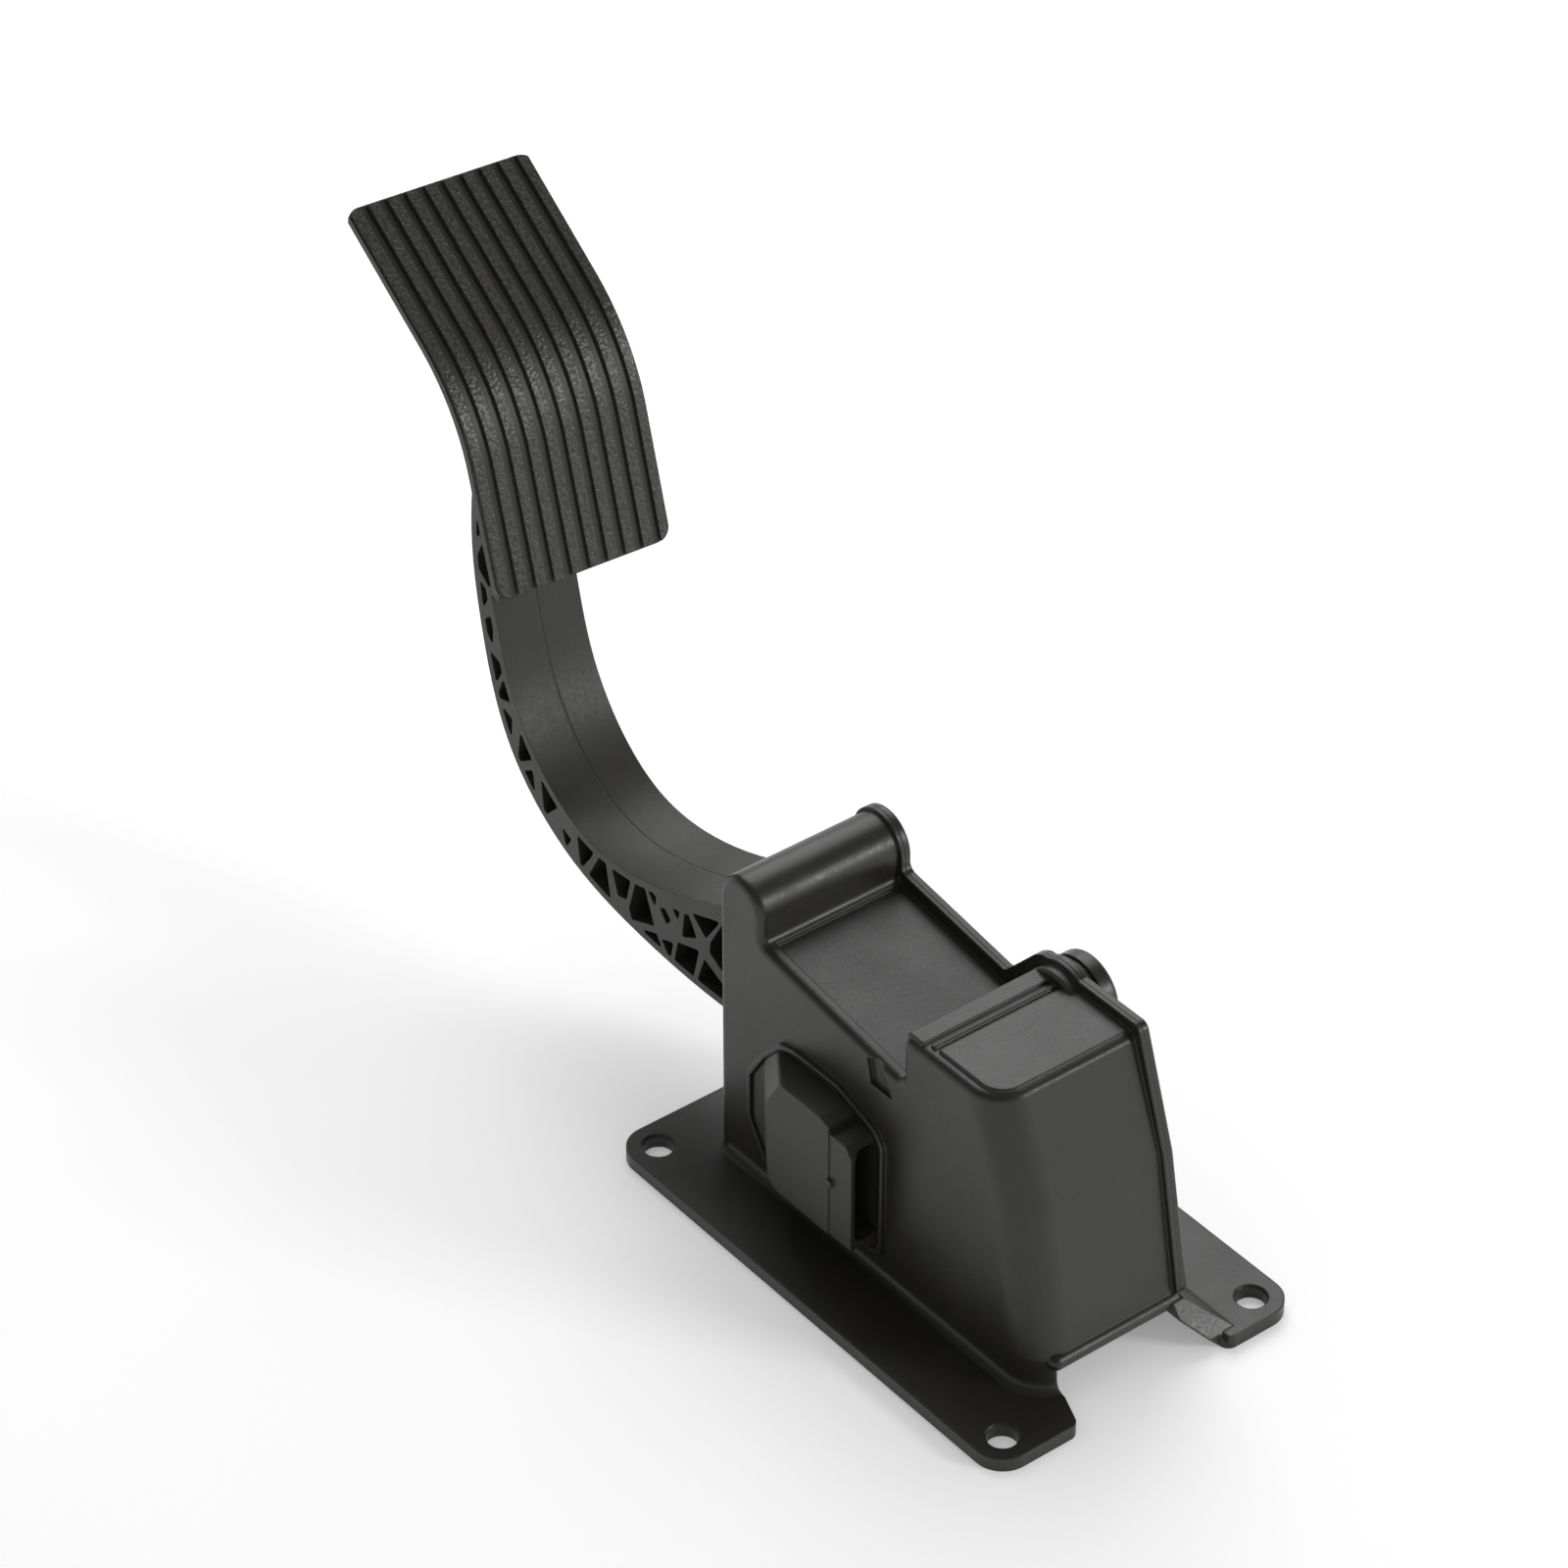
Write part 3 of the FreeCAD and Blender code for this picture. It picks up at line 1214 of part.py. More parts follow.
def board_left():
    return inner_left + size("gasket_thick") + 1.6 + 0.6


def board_centre():
    return (25.0, floor_top + 1.6 + size("board_height") / 2)


def sensor_board():
    back, up = board_centre()
    half_long = size("board_length") / 2
    half_high = size("board_height") / 2
    board = block(board_left(), board_left() + size("board_thick"), back - half_long, back + half_long,
                  up - half_high, up + half_high)
    board = fillet_where(board, 2.0, lambda edge: edge.BoundBox.XLength > 1)
    return board.cut(Part.makeCompound(pin_solids(size("seat_gap")) + board_bores(1.3)))


def board_bores(radius):
    back, up = board_centre()
    half_long = size("board_length") / 2 - 3.2
    half_high = size("board_height") / 4
    return [across_rod(radius, back + sign_y * half_long, up + sign_z * half_high, -26, 0)
            for sign_y in (-1, 1) for sign_z in (-1, 1)]


def hall_sensors():
    start = board_left() + size("board_thick")
    chips = []
    for offset in (-7.0, 7.0):
        chips.append(block(start, start + size("chip_thick"), magnet_back() + offset - size("chip_size") / 2,
                           magnet_back() + offset + size("chip_size") / 2,
                           magnet_up() + 1.0 - size("chip_size") / 2,
                           magnet_up() + 1.0 + size("chip_size") / 2))
    return Part.makeCompound(chips)


def connector_gasket():
    ring = across_prism(socket_outline(3.3), inner_left, inner_left + size("gasket_thick"))
    ring = above_floor(ring, 0.2)
    return ring.cut(above_floor(across_prism(socket_outline(size("part_gap")), inner_left - 1, 0), 0.4))


def sensor_lid():
    """Thin tray over the board, held by four ears at its ends."""
    back, up = board_centre()
    half_long = size("board_length") / 2 - 6.6
    half_high = size("board_height") / 2 - 1.4
    start = board_left() + size("board_thick")
    stop = start + size("chip_thick") + 1.6
    tray = block(start, stop, back - half_long, back + half_long, up - half_high, up + half_high)
    tray = fillet_where(tray, 2.0, lambda edge: edge.BoundBox.XLength > 1)
    thin = size("lid_wall")
    room = block(start - 1, stop - thin, back - half_long + thin, back + half_long - thin,
                 up - half_high + thin, up + half_high - thin)
    tray = tray.cut(room)
    ears = []
    for rod in board_bores(1.0):
        place = rod.BoundBox.Center
        inward = -1 if place.y > back else 1
        ears.append(strap(start, place.y, place.z, place.y + inward * 3.8, place.z))
    tray = tray.fuse(ears)
    return tray.cut(Part.makeCompound(board_bores(1.3))).removeSplitter()


def strap(start, foot_back, foot_up, end_back, end_up):
    """Ear that reaches from a screw to the tray's corner."""
    disc = across_rod(2.8, foot_back, foot_up, start, start + 1.2)
    arm = across_prism(strut_face(side_point(foot_back, foot_up), side_point(end_back, end_up), 3.0),
                       start, start + 1.2)
    return disc.fuse(arm)


def lid_screws():
    """Small pan screws through lid and board into the connector moulding's pillars."""
    start = board_left() + size("board_thick") + 1.2
    screws = []
    for rod in board_bores(1.1):
        place = rod.BoundBox.Center
        shank = across_rod(1.1, place.y, place.z, board_left() - 2.0, start + 0.5)
        head = across_rod(2.2, place.y, place.z, start, start + 1.4)
        head = fillet_where(head, 0.5, lambda edge: edge.BoundBox.XMin > start + 1.39)
        slot = block(start + 0.8, start + 2.0, place.y - 1.5, place.y + 1.5, place.z - 0.3, place.z + 0.3)
        screws.append(shank.fuse(head).cut(slot).removeSplitter())
    return Part.makeCompound(screws)


# Build everything

pivot_shaft()
pivot_bush("pivot_bush_left", "-Sizes.body_left + Sizes.wall + 5.5", "1")
pivot_bush("pivot_bush_right", "Sizes.body_joint - 4.5", "-1")
spring_seat()
publish("housing_shell", housing_shell())
publish("side_cover", side_cover())
publish("cover_screws", cover_screws())
publish("pedal_arm", pedal_arm())
publish("tread_pad", tread_pad())
publish("spring_cup", spring_cup())
publish("connector_housing", connector_housing())
publish("connector_pins", Part.makeCompound(pin_solids(0.0)))
publish("sensor_board", sensor_board())
publish("hall_sensors", hall_sensors())
publish("position_magnet", magnet_box(0.0))
publish("connector_gasket", connector_gasket())
publish("sensor_lid", sensor_lid())
publish("lid_screws", lid_screws())
publish("idle_stop", idle_stop())
publish("full_stop", full_stop())
publish("outer_return_spring",
        coil_spring(size("outer_spring_radius"), size("outer_wire"), size("outer_turns")))
publish("inner_return_spring",
        coil_spring(size("inner_spring_radius"), size("inner_wire"), size("inner_turns")))
doc.recompute()

NODES = ["housing_shell", "side_cover", "cover_screws", "pivot_shaft", "pivot_bush_left", "pivot_bush_right",
         "pedal_arm", "tread_pad", "spring_cup", "outer_return_spring", "inner_return_spring", "spring_seat",
         "idle_stop", "full_stop", "connector_housing", "connector_gasket", "connector_pins",
         "sensor_board", "hall_sensors", "sensor_lid", "lid_screws", "position_magnet"]

for item in doc.Objects:
    bad = [word for word in item.State if word in ("Invalid", "Error")]
    if bad:
        raise RuntimeError("%s is %s" % (item.Label, bad))

os.makedirs("parts", exist_ok=True)
for name in NODES:
    shape = doc.getObjectsByLabel(name)[0].Shape
    if shape.isNull() or not shape.isValid():
        raise RuntimeError("%s has a bad shape" % name)
    shape.exportStep("parts/%s.step" % name)
    print(name, "solids", len(shape.Solids), "faces", len(shape.Faces), "volume", round(shape.Volume, 1))
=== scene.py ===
# %% [markdown]
# A floor-mounted accelerator pedal
#
# The pedal comes in as a fixed frame of solids: housing, arm, springs and sensor.
# This file gives each of them the finish of the real material. It makes the screws
# again with more detail than the solids carry, and it winds the two springs again
# from round wire.

# %% Load the frame
import math

import bmesh
import bpy
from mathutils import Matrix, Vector


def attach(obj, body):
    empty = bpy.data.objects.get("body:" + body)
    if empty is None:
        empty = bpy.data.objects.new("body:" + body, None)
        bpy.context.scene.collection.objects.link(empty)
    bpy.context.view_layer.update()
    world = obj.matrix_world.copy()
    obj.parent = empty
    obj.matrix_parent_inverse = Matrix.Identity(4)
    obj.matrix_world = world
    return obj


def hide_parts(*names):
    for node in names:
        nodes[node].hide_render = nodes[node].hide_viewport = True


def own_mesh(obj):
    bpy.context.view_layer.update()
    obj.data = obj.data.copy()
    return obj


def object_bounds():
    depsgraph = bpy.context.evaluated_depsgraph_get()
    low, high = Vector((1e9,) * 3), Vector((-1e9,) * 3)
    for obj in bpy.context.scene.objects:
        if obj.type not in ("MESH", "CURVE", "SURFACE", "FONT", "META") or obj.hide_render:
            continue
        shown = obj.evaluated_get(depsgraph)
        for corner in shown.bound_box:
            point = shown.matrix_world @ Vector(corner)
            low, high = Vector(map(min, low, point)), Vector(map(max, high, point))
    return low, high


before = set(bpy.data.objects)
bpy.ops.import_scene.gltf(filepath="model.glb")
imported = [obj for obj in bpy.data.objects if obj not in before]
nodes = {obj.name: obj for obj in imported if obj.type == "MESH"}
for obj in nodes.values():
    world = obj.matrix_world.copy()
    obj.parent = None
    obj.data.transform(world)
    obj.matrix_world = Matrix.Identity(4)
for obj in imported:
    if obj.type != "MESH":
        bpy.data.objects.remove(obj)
MM = 0.001
cad_low, cad_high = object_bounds()
print("nodes", len(nodes), "size in mm", [round(side / MM, 1) for side in cad_high - cad_low])

# %% [markdown]
# The view is from in front of the left corner, looking down at the pedal through a long
# lens. A long lens keeps parallel edges nearly parallel, so the distance matters as much
# as the angle. Both were settled by matching bolt holes and edges. The lamps further down
# are aimed in the same way as the camera, so one helper serves both.

# %% The camera
CAMERA_PLACE = Vector((-0.7308, -0.8557, 0.9888))
CAMERA_TARGET = Vector((0.0355, 0.11635, 0.0642))
LENS_MM, SENSOR_MM = 128.59, 36.0


def aim(thing, place, target):
    """Puts a camera or lamp into the scene at its place, turned towards its target."""
    thing.location = place
    thing.rotation_mode = "QUATERNION"
    thing.rotation_quaternion = (Vector(target) - Vector(place)).to_track_quat("-Z", "Y")
    bpy.context.scene.collection.objects.link(thing)


camera_data = bpy.data.cameras.new("camera")
camera_data.lens = LENS_MM
camera_data.sensor_width = SENSOR_MM
camera = bpy.data.objects.new("camera", camera_data)
aim(camera, CAMERA_PLACE, CAMERA_TARGET)
bpy.context.scene.camera = camera
print("camera is", round((CAMERA_TARGET - CAMERA_PLACE).length, 2), "m from its target")

# %% [markdown]
# Every material below is a small graph of nodes. A few helpers keep the graphs short.
# The first turns a written colour into the linear numbers that the renderer adds up, the
# second adds a node, sets its sockets and links it, and the last two start a material
# and link its finished graph to the shader.

# %% Helpers for materials
def linear(hex_colour, times=1.0):
    """Linear red, green, blue and alpha of an sRGB colour such as '252422', made lighter or darker."""
    parts = [int(hex_colour[start:start + 2], 16) / 255 for start in (0, 2, 4)]
    return [times * (p / 12.92 if p <= 0.04045 else ((p + 0.055) / 1.055) ** 2.4) for p in parts] + [1.0]


def add_node(tree, kind, sockets=None, **settings):
    """A new node whose sockets are set to values or linked to other nodes' outputs."""
    made = tree.nodes.new(kind)
    for name, value in settings.items():
        setattr(made, name, value)
    for name, value in (sockets or {}).items():
        if isinstance(value, bpy.types.NodeSocket):
            tree.links.new(value, made.inputs[name])
        else:
            made.inputs[name].default_value = value
    return made


def start_material(name, **sockets):
    """A material with one Principled shader, whose sockets are named with underscores for spaces."""
    material = bpy.data.materials.new(name)
    material.use_nodes = True
    tree = material.node_tree
    shader = tree.nodes["Principled BSDF"]
    for socket, value in sockets.items():
        shader.inputs[socket.replace("_", " ")].default_value = value
    place = add_node(tree, "ShaderNodeTexCoord").outputs["Object"]
    return material, tree, shader, place


def link_shader(tree, shader, **outputs):
    """Links outputs to a shader's sockets, which are named with underscores for spaces."""
    for socket, output in outputs.items():
        tree.links.new(output, shader.inputs[socket.replace("_", " ")])


print("housing black in linear numbers", [round(part, 4) for part in linear("252422")[:3]])

# %% [markdown]
# Moulded black plastic
#
# Housing, cover and arm are glass-filled polyamide, and the connector and the sensor's
# lid are polyamide without glass. All are injection moulded in steel tools. The tool's
# surface is spark eroded, so the part comes out satin: it mirrors nothing sharply, and a
# fine grain breaks up each highlight. Real edges are never sharp, so a bevel is worked
# into the shading of every edge. The acetal cup, seat and bushes and the epoxy chips are
# moulded too, so they share the recipe with a finer finish.
#
# Thick walls also sink a little as they cool and the glass fibres drift with the flow,
# so flat faces are faintly wavy, and a highlight on them is never quite even. The arm
# shows a fine seam where the two halves of its mould met.
#
# The grain could be a picture, but noise from the object's own coordinates has no
# seams and keeps its size on every part.

# %% A moulded plastic
PLASTIC_IOR = 1.5
CLOUD_MM, CLOUD_TINT = 22, 1.25
NOISES_LOW, NOISES_HIGH = 0.6, 1.4
FLOW_DEPTH_MM = 0.12
SEAM_HALF_MM, SEAM_DEPTH_MM = 0.5, 0.12
EDGE_SAMPLES = 6


def distance_from(tree, value, centre):
    """How far a value is from a centre, to either side."""
    offset = add_node(tree, "ShaderNodeMath", {0: value, 1: centre}, operation="SUBTRACT")
    away = add_node(tree, "ShaderNodeMath", {0: offset.outputs["Value"]}, operation="ABSOLUTE")
    return away.outputs["Value"]


def mould_seam(tree, place, seam_x_mm, normal):
    """The given normal with a shallow ditch in the plane where two halves of a mould met."""
    across = add_node(tree, "ShaderNodeSeparateXYZ", {"Vector": place}).outputs["X"]
    ditch = add_node(tree, "ShaderNodeMapRange",
                     {"Value": distance_from(tree, across, seam_x_mm * MM),
                      "From Min": 0.0, "From Max": SEAM_HALF_MM * MM})
    seam = add_node(tree, "ShaderNodeBump",
                    {"Height": ditch.outputs["Result"], "Distance": SEAM_DEPTH_MM * MM,
                     "Strength": 1.0, "Normal": normal})
    return seam.outputs["Normal"]


def moulded_plastic(name, hex_colour, rough, rough_spread, grain_mm, grain_depth_mm, edge_mm=0.35,
                    seam_x_mm=None):
    """Satin plastic: fine grain in the bump, broad clouds in colour and roughness, soft edges."""
    material, tree, shader, place = start_material(name, IOR=PLASTIC_IOR)
    clouds = add_node(tree, "ShaderNodeTexNoise",
                      {"Vector": place, "Scale": 1 / (CLOUD_MM * MM), "Detail": 3.0})
    grain = add_node(tree, "ShaderNodeTexNoise",
                     {"Vector": place, "Scale": 1 / (grain_mm * MM), "Detail": 2.0, "Roughness": 0.6})
    colour = add_node(tree, "ShaderNodeMix",
                      {"Factor": clouds.outputs["Fac"], "A": linear(hex_colour),
                       "B": linear(hex_colour, CLOUD_TINT)}, data_type="RGBA")
    both = add_node(tree, "ShaderNodeMath",
                    {0: clouds.outputs["Fac"], 1: grain.outputs["Fac"]}, operation="ADD")
    roughness = add_node(tree, "ShaderNodeMapRange",
                         {"Value": both.outputs["Value"], "From Min": NOISES_LOW, "From Max": NOISES_HIGH,
                          "To Min": rough - rough_spread, "To Max": rough + rough_spread})
    edges = add_node(tree, "ShaderNodeBevel", {"Radius": edge_mm * MM}, samples=EDGE_SAMPLES)
    flow = add_node(tree, "ShaderNodeBump",
                    {"Height": clouds.outputs["Fac"], "Distance": FLOW_DEPTH_MM * MM,
                     "Strength": 1.0, "Normal": edges.outputs["Normal"]})
    bump = add_node(tree, "ShaderNodeBump",
                    {"Height": grain.outputs["Fac"], "Distance": grain_depth_mm * MM,
                     "Strength": 1.0, "Normal": flow.outputs["Normal"]})
    normal = bump.outputs["Normal"]
    if seam_x_mm is not None:
        normal = mould_seam(tree, place, seam_x_mm, normal)
    link_shader(tree, shader, Base_Color=colour.outputs["Result"], Roughness=roughness.outputs["Result"],
                Normal=normal)
    return material


# %% The moulded finishes
housing_black = moulded_plastic("glass_filled_polyamide_housing", "252422", 0.39, 0.08, 0.9, 0.035, 0.8)
cover_black = moulded_plastic("glass_filled_polyamide_cover", "242321", 0.36, 0.06, 0.9, 0.035, 0.6)
arm_black = moulded_plastic("glass_filled_polyamide_arm", "292826", 0.5, 0.07, 1.2, 0.035, 0.35, -5.0)
connector_black = moulded_plastic("unfilled_polyamide_connector", "2d2c2a", 0.5, 0.05, 0.8, 0.025, 0.7)
cup_grey = moulded_plastic("acetal_spring_cup", "2b2b2a", 0.4, 0.05, 1.5, 0.01)
bush_white = moulded_plastic("acetal_bush", "cfcabb", 0.35, 0.05, 1.5, 0.01, 0.2)
chip_black = moulded_plastic("epoxy_moulded_chip", "242424", 0.6, 0.05, 0.6, 0.02, 0.15)
print("moulded plastics", [m.name for m in (housing_black, cover_black, arm_black, connector_black,
                                            cup_grey, bush_white, chip_black)])

# %% [markdown]
# The colour is darker in the pebbles' valleys and in the grooves between the ribs. That darkening is painted
# shade, for the shadow that falls into them.
# Rubber tread
#
# The tread is a thermoplastic rubber pad. Its ribs carry a leather grain: rounded
# pebbles under a millimetre across with narrow valleys between them, pressed from an
# etched tool. A cell pattern gives pebbles, and a little noise bends its cell walls so
# that no two pebbles match. The grooves between the ribs come from a plain, matt part of
# the tool, so the grain stops at each rib's edge. The ribs run straight up the pad, so
# one coordinate, across the pad, tells rib from groove.
#
# The nitrile stops and the connector's silicone seal take the same recipe, with smaller
# and much shallower pebbles.

# %% Where the ribs are
RIB_FIRST_MM, RIB_PITCH_MM = -18.5, 6.0
RIB_TOP_HALF_MM, RIB_FOOT_HALF_MM = 1.6, 2.05


def rib_mask(tree, place):
    """1 on top of the tread's ribs and 0 in the grooves."""
    across = add_node(tree, "ShaderNodeSeparateXYZ", {"Vector": place}).outputs["X"]
    wrapped = add_node(tree, "ShaderNodeMath",
                       {0: across, 1: (RIB_FIRST_MM - RIB_PITCH_MM / 2) * MM,
                        2: (RIB_FIRST_MM + RIB_PITCH_MM / 2) * MM}, operation="WRAP")
    away = distance_from(tree, wrapped.outputs["Value"], RIB_FIRST_MM * MM)
    mask = add_node(tree, "ShaderNodeMapRange",
                    {"Value": away, "From Min": RIB_TOP_HALF_MM * MM, "From Max": RIB_FOOT_HALF_MM * MM,
                     "To Min": 1.0, "To Max": 0.0})
    return mask.outputs["Result"]


print("ribs", RIB_PITCH_MM, "mm apart, the first at x", RIB_FIRST_MM, "mm")

# %% [markdown]
# The sizes of the bends are counted in pebbles, so that a finer grain bends as finely. A
# pebble is flat on top out to one distance from its middle and then falls away to its
# valley, in the cell pattern's own measure.

# %% Grained rubber
RUBBER_IOR = 1.5
BEND_SIZE, BEND_REACH = 2.5, 1.2
PEBBLE_TOP, PEBBLE_FOOT = 0.2, 0.7
# The colour in the pebbles' valleys and in the grooves is this share of the full colour: painted shade.
PAINTED_VALLEY_SHADE, VALLEY_ROUGHER = 0.3, 0.15
RUBBER_EDGE_MM = 0.4


def grained_rubber(name, hex_colour, pebble_mm, depth_mm, rough, ribbed=False):
    """Pebbled rubber with painted shade in its valleys; a ribbed one keeps its grain to the rib tops and has
    painted shade in its grooves.
    """
    material, tree, shader, place = start_material(name, IOR=RUBBER_IOR)
    bend = add_node(tree, "ShaderNodeTexNoise",
                    {"Vector": place, "Scale": 1 / (BEND_SIZE * pebble_mm * MM), "Detail": 2.0})
    moved = add_node(tree, "ShaderNodeVectorMath",
                     {0: bend.outputs["Color"], 1: [BEND_REACH * pebble_mm * MM] * 3, 2: place},
                     operation="MULTIPLY_ADD")
    pebbles = add_node(tree, "ShaderNodeTexVoronoi",
                       {"Vector": moved.outputs["Vector"], "Scale": 1 / (pebble_mm * MM)},
                       feature="SMOOTH_F1")
    crown = add_node(tree, "ShaderNodeMapRange",
                     {"Value": pebbles.outputs["Distance"], "From Min": PEBBLE_TOP,
                      "From Max": PEBBLE_FOOT, "To Min": 1.0, "To Max": 0.0})
    height = crown.outputs["Result"]
    if ribbed:
        height = add_node(tree, "ShaderNodeMath", {0: height, 1: rib_mask(tree, place)},
                          operation="MULTIPLY").outputs["Value"]
    # Painted shade: the colour darkens where the height is low, in the pebbles' valleys and in the grooves.
    colour = add_node(tree, "ShaderNodeMix",
                      {"Factor": height, "A": linear(hex_colour, PAINTED_VALLEY_SHADE), "B": linear(hex_colour)},
                      data_type="RGBA")
    roughness = add_node(tree, "ShaderNodeMapRange",
                         {"Value": height, "To Min": rough + VALLEY_ROUGHER, "To Max": rough})
    edges = add_node(tree, "ShaderNodeBevel", {"Radius": RUBBER_EDGE_MM * MM}, samples=EDGE_SAMPLES)
    bump = add_node(tree, "ShaderNodeBump",
                    {"Height": height, "Distance": depth_mm * MM, "Strength": 1.0,
                     "Normal": edges.outputs["Normal"]})
    link_shader(tree, shader, Base_Color=colour.outputs["Result"], Roughness=roughness.outputs["Result"],
                Normal=bump.outputs["Normal"])
    return material


tread_rubber = grained_rubber("leather_grained_tread_rubber", "403f3c", 0.95, 0.11, 0.32, ribbed=True)
stop_rubber = grained_rubber("nitrile_stop_rubber", "1a1a1a", 0.7, 0.02, 0.5)
seal_rubber = grained_rubber("silicone_gasket", "6b2a20", 0.7, 0.01, 0.45)
print("rubbers", tread_rubber.name, stop_rubber.name, seal_rubber.name)

# %% [markdown]
# Metals
#
# Springs are oiled spring-steel wire, drawn through a die, so fine scratches run along
# it. The shaft is ground steel. Screws are zinc plated, with a soft, slightly cloudy
# silver. The contacts are tinned brass, and the magnet is nickel plated. A metal's
# colour is its mirror colour.

# %% Plated, ground and drawn metal
MARK_TINT, MARK_DEPTH_MM = 0.8, 0.005
MARKS_LOW, MARKS_HIGH = 0.3, 0.7


def metal(name, hex_colour, rough, rough_spread, mark_mm, stretch):
    """Metal whose marks are mark_mm wide and longer by stretch along each axis."""
    material, tree, shader, place = start_material(name, Metallic=1.0)
    turned = add_node(tree, "ShaderNodeMapping", {"Vector": place, "Scale": [1 / s for s in stretch]})
    marks = add_node(tree, "ShaderNodeTexNoise",
                     {"Vector": turned.outputs["Vector"], "Scale": 1 / (mark_mm * MM), "Detail": 4.0})
    colour = add_node(tree, "ShaderNodeMix",
                      {"Factor": marks.outputs["Fac"], "A": linear(hex_colour),
                       "B": linear(hex_colour, MARK_TINT)}, data_type="RGBA")
    roughness = add_node(tree, "ShaderNodeMapRange",
                         {"Value": marks.outputs["Fac"], "From Min": MARKS_LOW, "From Max": MARKS_HIGH,
                          "To Min": rough - rough_spread, "To Max": rough + rough_spread})
    bump = add_node(tree, "ShaderNodeBump",
                    {"Height": marks.outputs["Fac"], "Distance": MARK_DEPTH_MM * MM, "Strength": 1.0})
    link_shader(tree, shader, Base_Color=colour.outputs["Result"], Roughness=roughness.outputs["Result"],
                Normal=bump.outputs["Normal"])
    return material


zinc_plate = metal("zinc_plated_steel", "b9bcc0", 0.34, 0.08, 1.2, (1, 1, 1))
ground_steel = metal("ground_shaft_steel", "b4b2ae", 0.24, 0.06, 0.25, (12, 1, 1))
spring_steel = metal("oiled_spring_steel", "6e6c69", 0.36, 0.07, 0.5, (4, 4, 1))
tinned_brass = metal("tinned_brass", "c9b98a", 0.28, 0.05, 0.5, (1, 6, 1))
nickel_magnet = metal("nickel_plated_magnet", "a9a59b", 0.3, 0.06, 0.8, (1, 1, 1))
print("metals", [m.name for m in (zinc_plate, ground_steel, spring_steel, tinned_brass, nickel_magnet)])

# %% [markdown]
# Circuit board
#
# The board is woven glass in epoxy under a green solder mask. The weave shows through
# as faint squares, so the mask's colour follows two crossed waves. A real weave repeats
# about every half millimetre, too fine to show, so it is drawn some twelve times coarser.
# The wave pattern turns by 20 radians in each unit of its scaled place, so its scale is
# worked out from the length in which the wave turns by one radian.

# %% Board laminate
LAMINATE_IOR = 1.55
WAVE_RADIANS = 20
WEAVE_TINT = 1.4
MASK_SMOOTH, MASK_ROUGH = 0.28, 0.4


def board_laminate(name, hex_colour, radian_mm):
    """Solder mask over a weave whose threads lie 2 pi times radian_mm apart."""
    material, tree, shader, place = start_material(name, IOR=LAMINATE_IOR)
    waves = [add_node(tree, "ShaderNodeTexWave",
                      {"Vector": place, "Scale": 1 / (WAVE_RADIANS * radian_mm * MM), "Distortion": 0.0},
                      bands_direction=axis) for axis in ("Y", "Z")]
    weave = add_node(tree, "ShaderNodeMath",
                     {0: waves[0].outputs["Fac"], 1: waves[1].outputs["Fac"]}, operation="MULTIPLY")
    colour = add_node(tree, "ShaderNodeMix",
                      {"Factor": weave.outputs["Value"], "A": linear(hex_colour),
                       "B": linear(hex_colour, WEAVE_TINT)}, data_type="RGBA")
    roughness = add_node(tree, "ShaderNodeMapRange",
                         {"Value": weave.outputs["Value"], "To Min": MASK_SMOOTH, "To Max": MASK_ROUGH})
    link_shader(tree, shader, Base_Color=colour.outputs["Result"], Roughness=roughness.outputs["Result"])
    return material


board_green = board_laminate("solder_masked_laminate", "1d4a2c", 1.0)
print("board", board_green.name)

# %% [markdown]
# Which part is made of what
#
# A solid keeps its mesh and only gets a better material in its slots. The screws and
# springs are on the list too, although finer pieces stand for them later on.

# %% Give each solid its material
FINISHES = {
    housing_black: ["housing_shell"],
    cover_black: ["side_cover"],
    arm_black: ["pedal_arm"],
    connector_black: ["connector_housing", "sensor_lid"],
    cup_grey: ["spring_cup", "spring_seat"],
    bush_white: ["pivot_bush_left", "pivot_bush_right"],
    tread_rubber: ["tread_pad"],
    stop_rubber: ["idle_stop", "full_stop"],
    seal_rubber: ["connector_gasket"],
    chip_black: ["hall_sensors"],
    zinc_plate: ["cover_screws", "lid_screws"],
    ground_steel: ["pivot_shaft"],
    spring_steel: ["outer_return_spring", "inner_return_spring"],
    tinned_brass: ["connector_pins"],
    nickel_magnet: ["position_magnet"],
    board_green: ["sensor_board"],
}
for material, names in FINISHES.items():
    for name in names:
        slots = nodes[name].material_slots
        if not slots:
            nodes[name].data.materials.append(material)
        for slot in slots:
            slot.material = material
bare = sorted(set(nodes) - {name for names in FINISHES.values() for name in names})
print("nodes without a finish:", bare)

# %% [markdown]
# Screws
#
# Six pan-head screws hold the cover, and four small ones hold the lid over the circuit
# board. The solids show them as plain turned pegs. A real one has a six-lobed drive
# pressed into the head and a thread rolled round the shank, so it is made here as a
# stack of rings: lobed rings for the drive, round rings for the head, and rings whose
# radius follows a slanting wave for the thread.

# %% Three kinds of ring
LOBES, LOBE_DEPTH = 6, 0.13


def round_ring(radius):
    """Ring of a turned shape."""
    return lambda angle: radius


def lobed_ring(radius):
    """Ring of the drive: it swells once for each lobe."""
    return lambda angle: radius * (1 + LOBE_DEPTH * math.cos(LOBES * angle))


def threaded_ring(core, depth, turn):
    """Ring of a thread: the ridge comes round once in each pitch."""
    return lambda angle: core + depth * abs(2 * ((turn - angle / (2 * math.pi)) % 1.0) - 1) ** 2


print("drive with", LOBES, "lobes, the widest radius", round(lobed_ring(1.0)(0.0), 2), "times the mean")

# %% [markdown]
# A screw's sizes are shares of a few real ones, so that one function makes both screws.
# Radii of the head are shares of the head's radius, depths in the head are shares of its
# height, radii below it are shares of the shank's, and lengths of thread are in pitches.

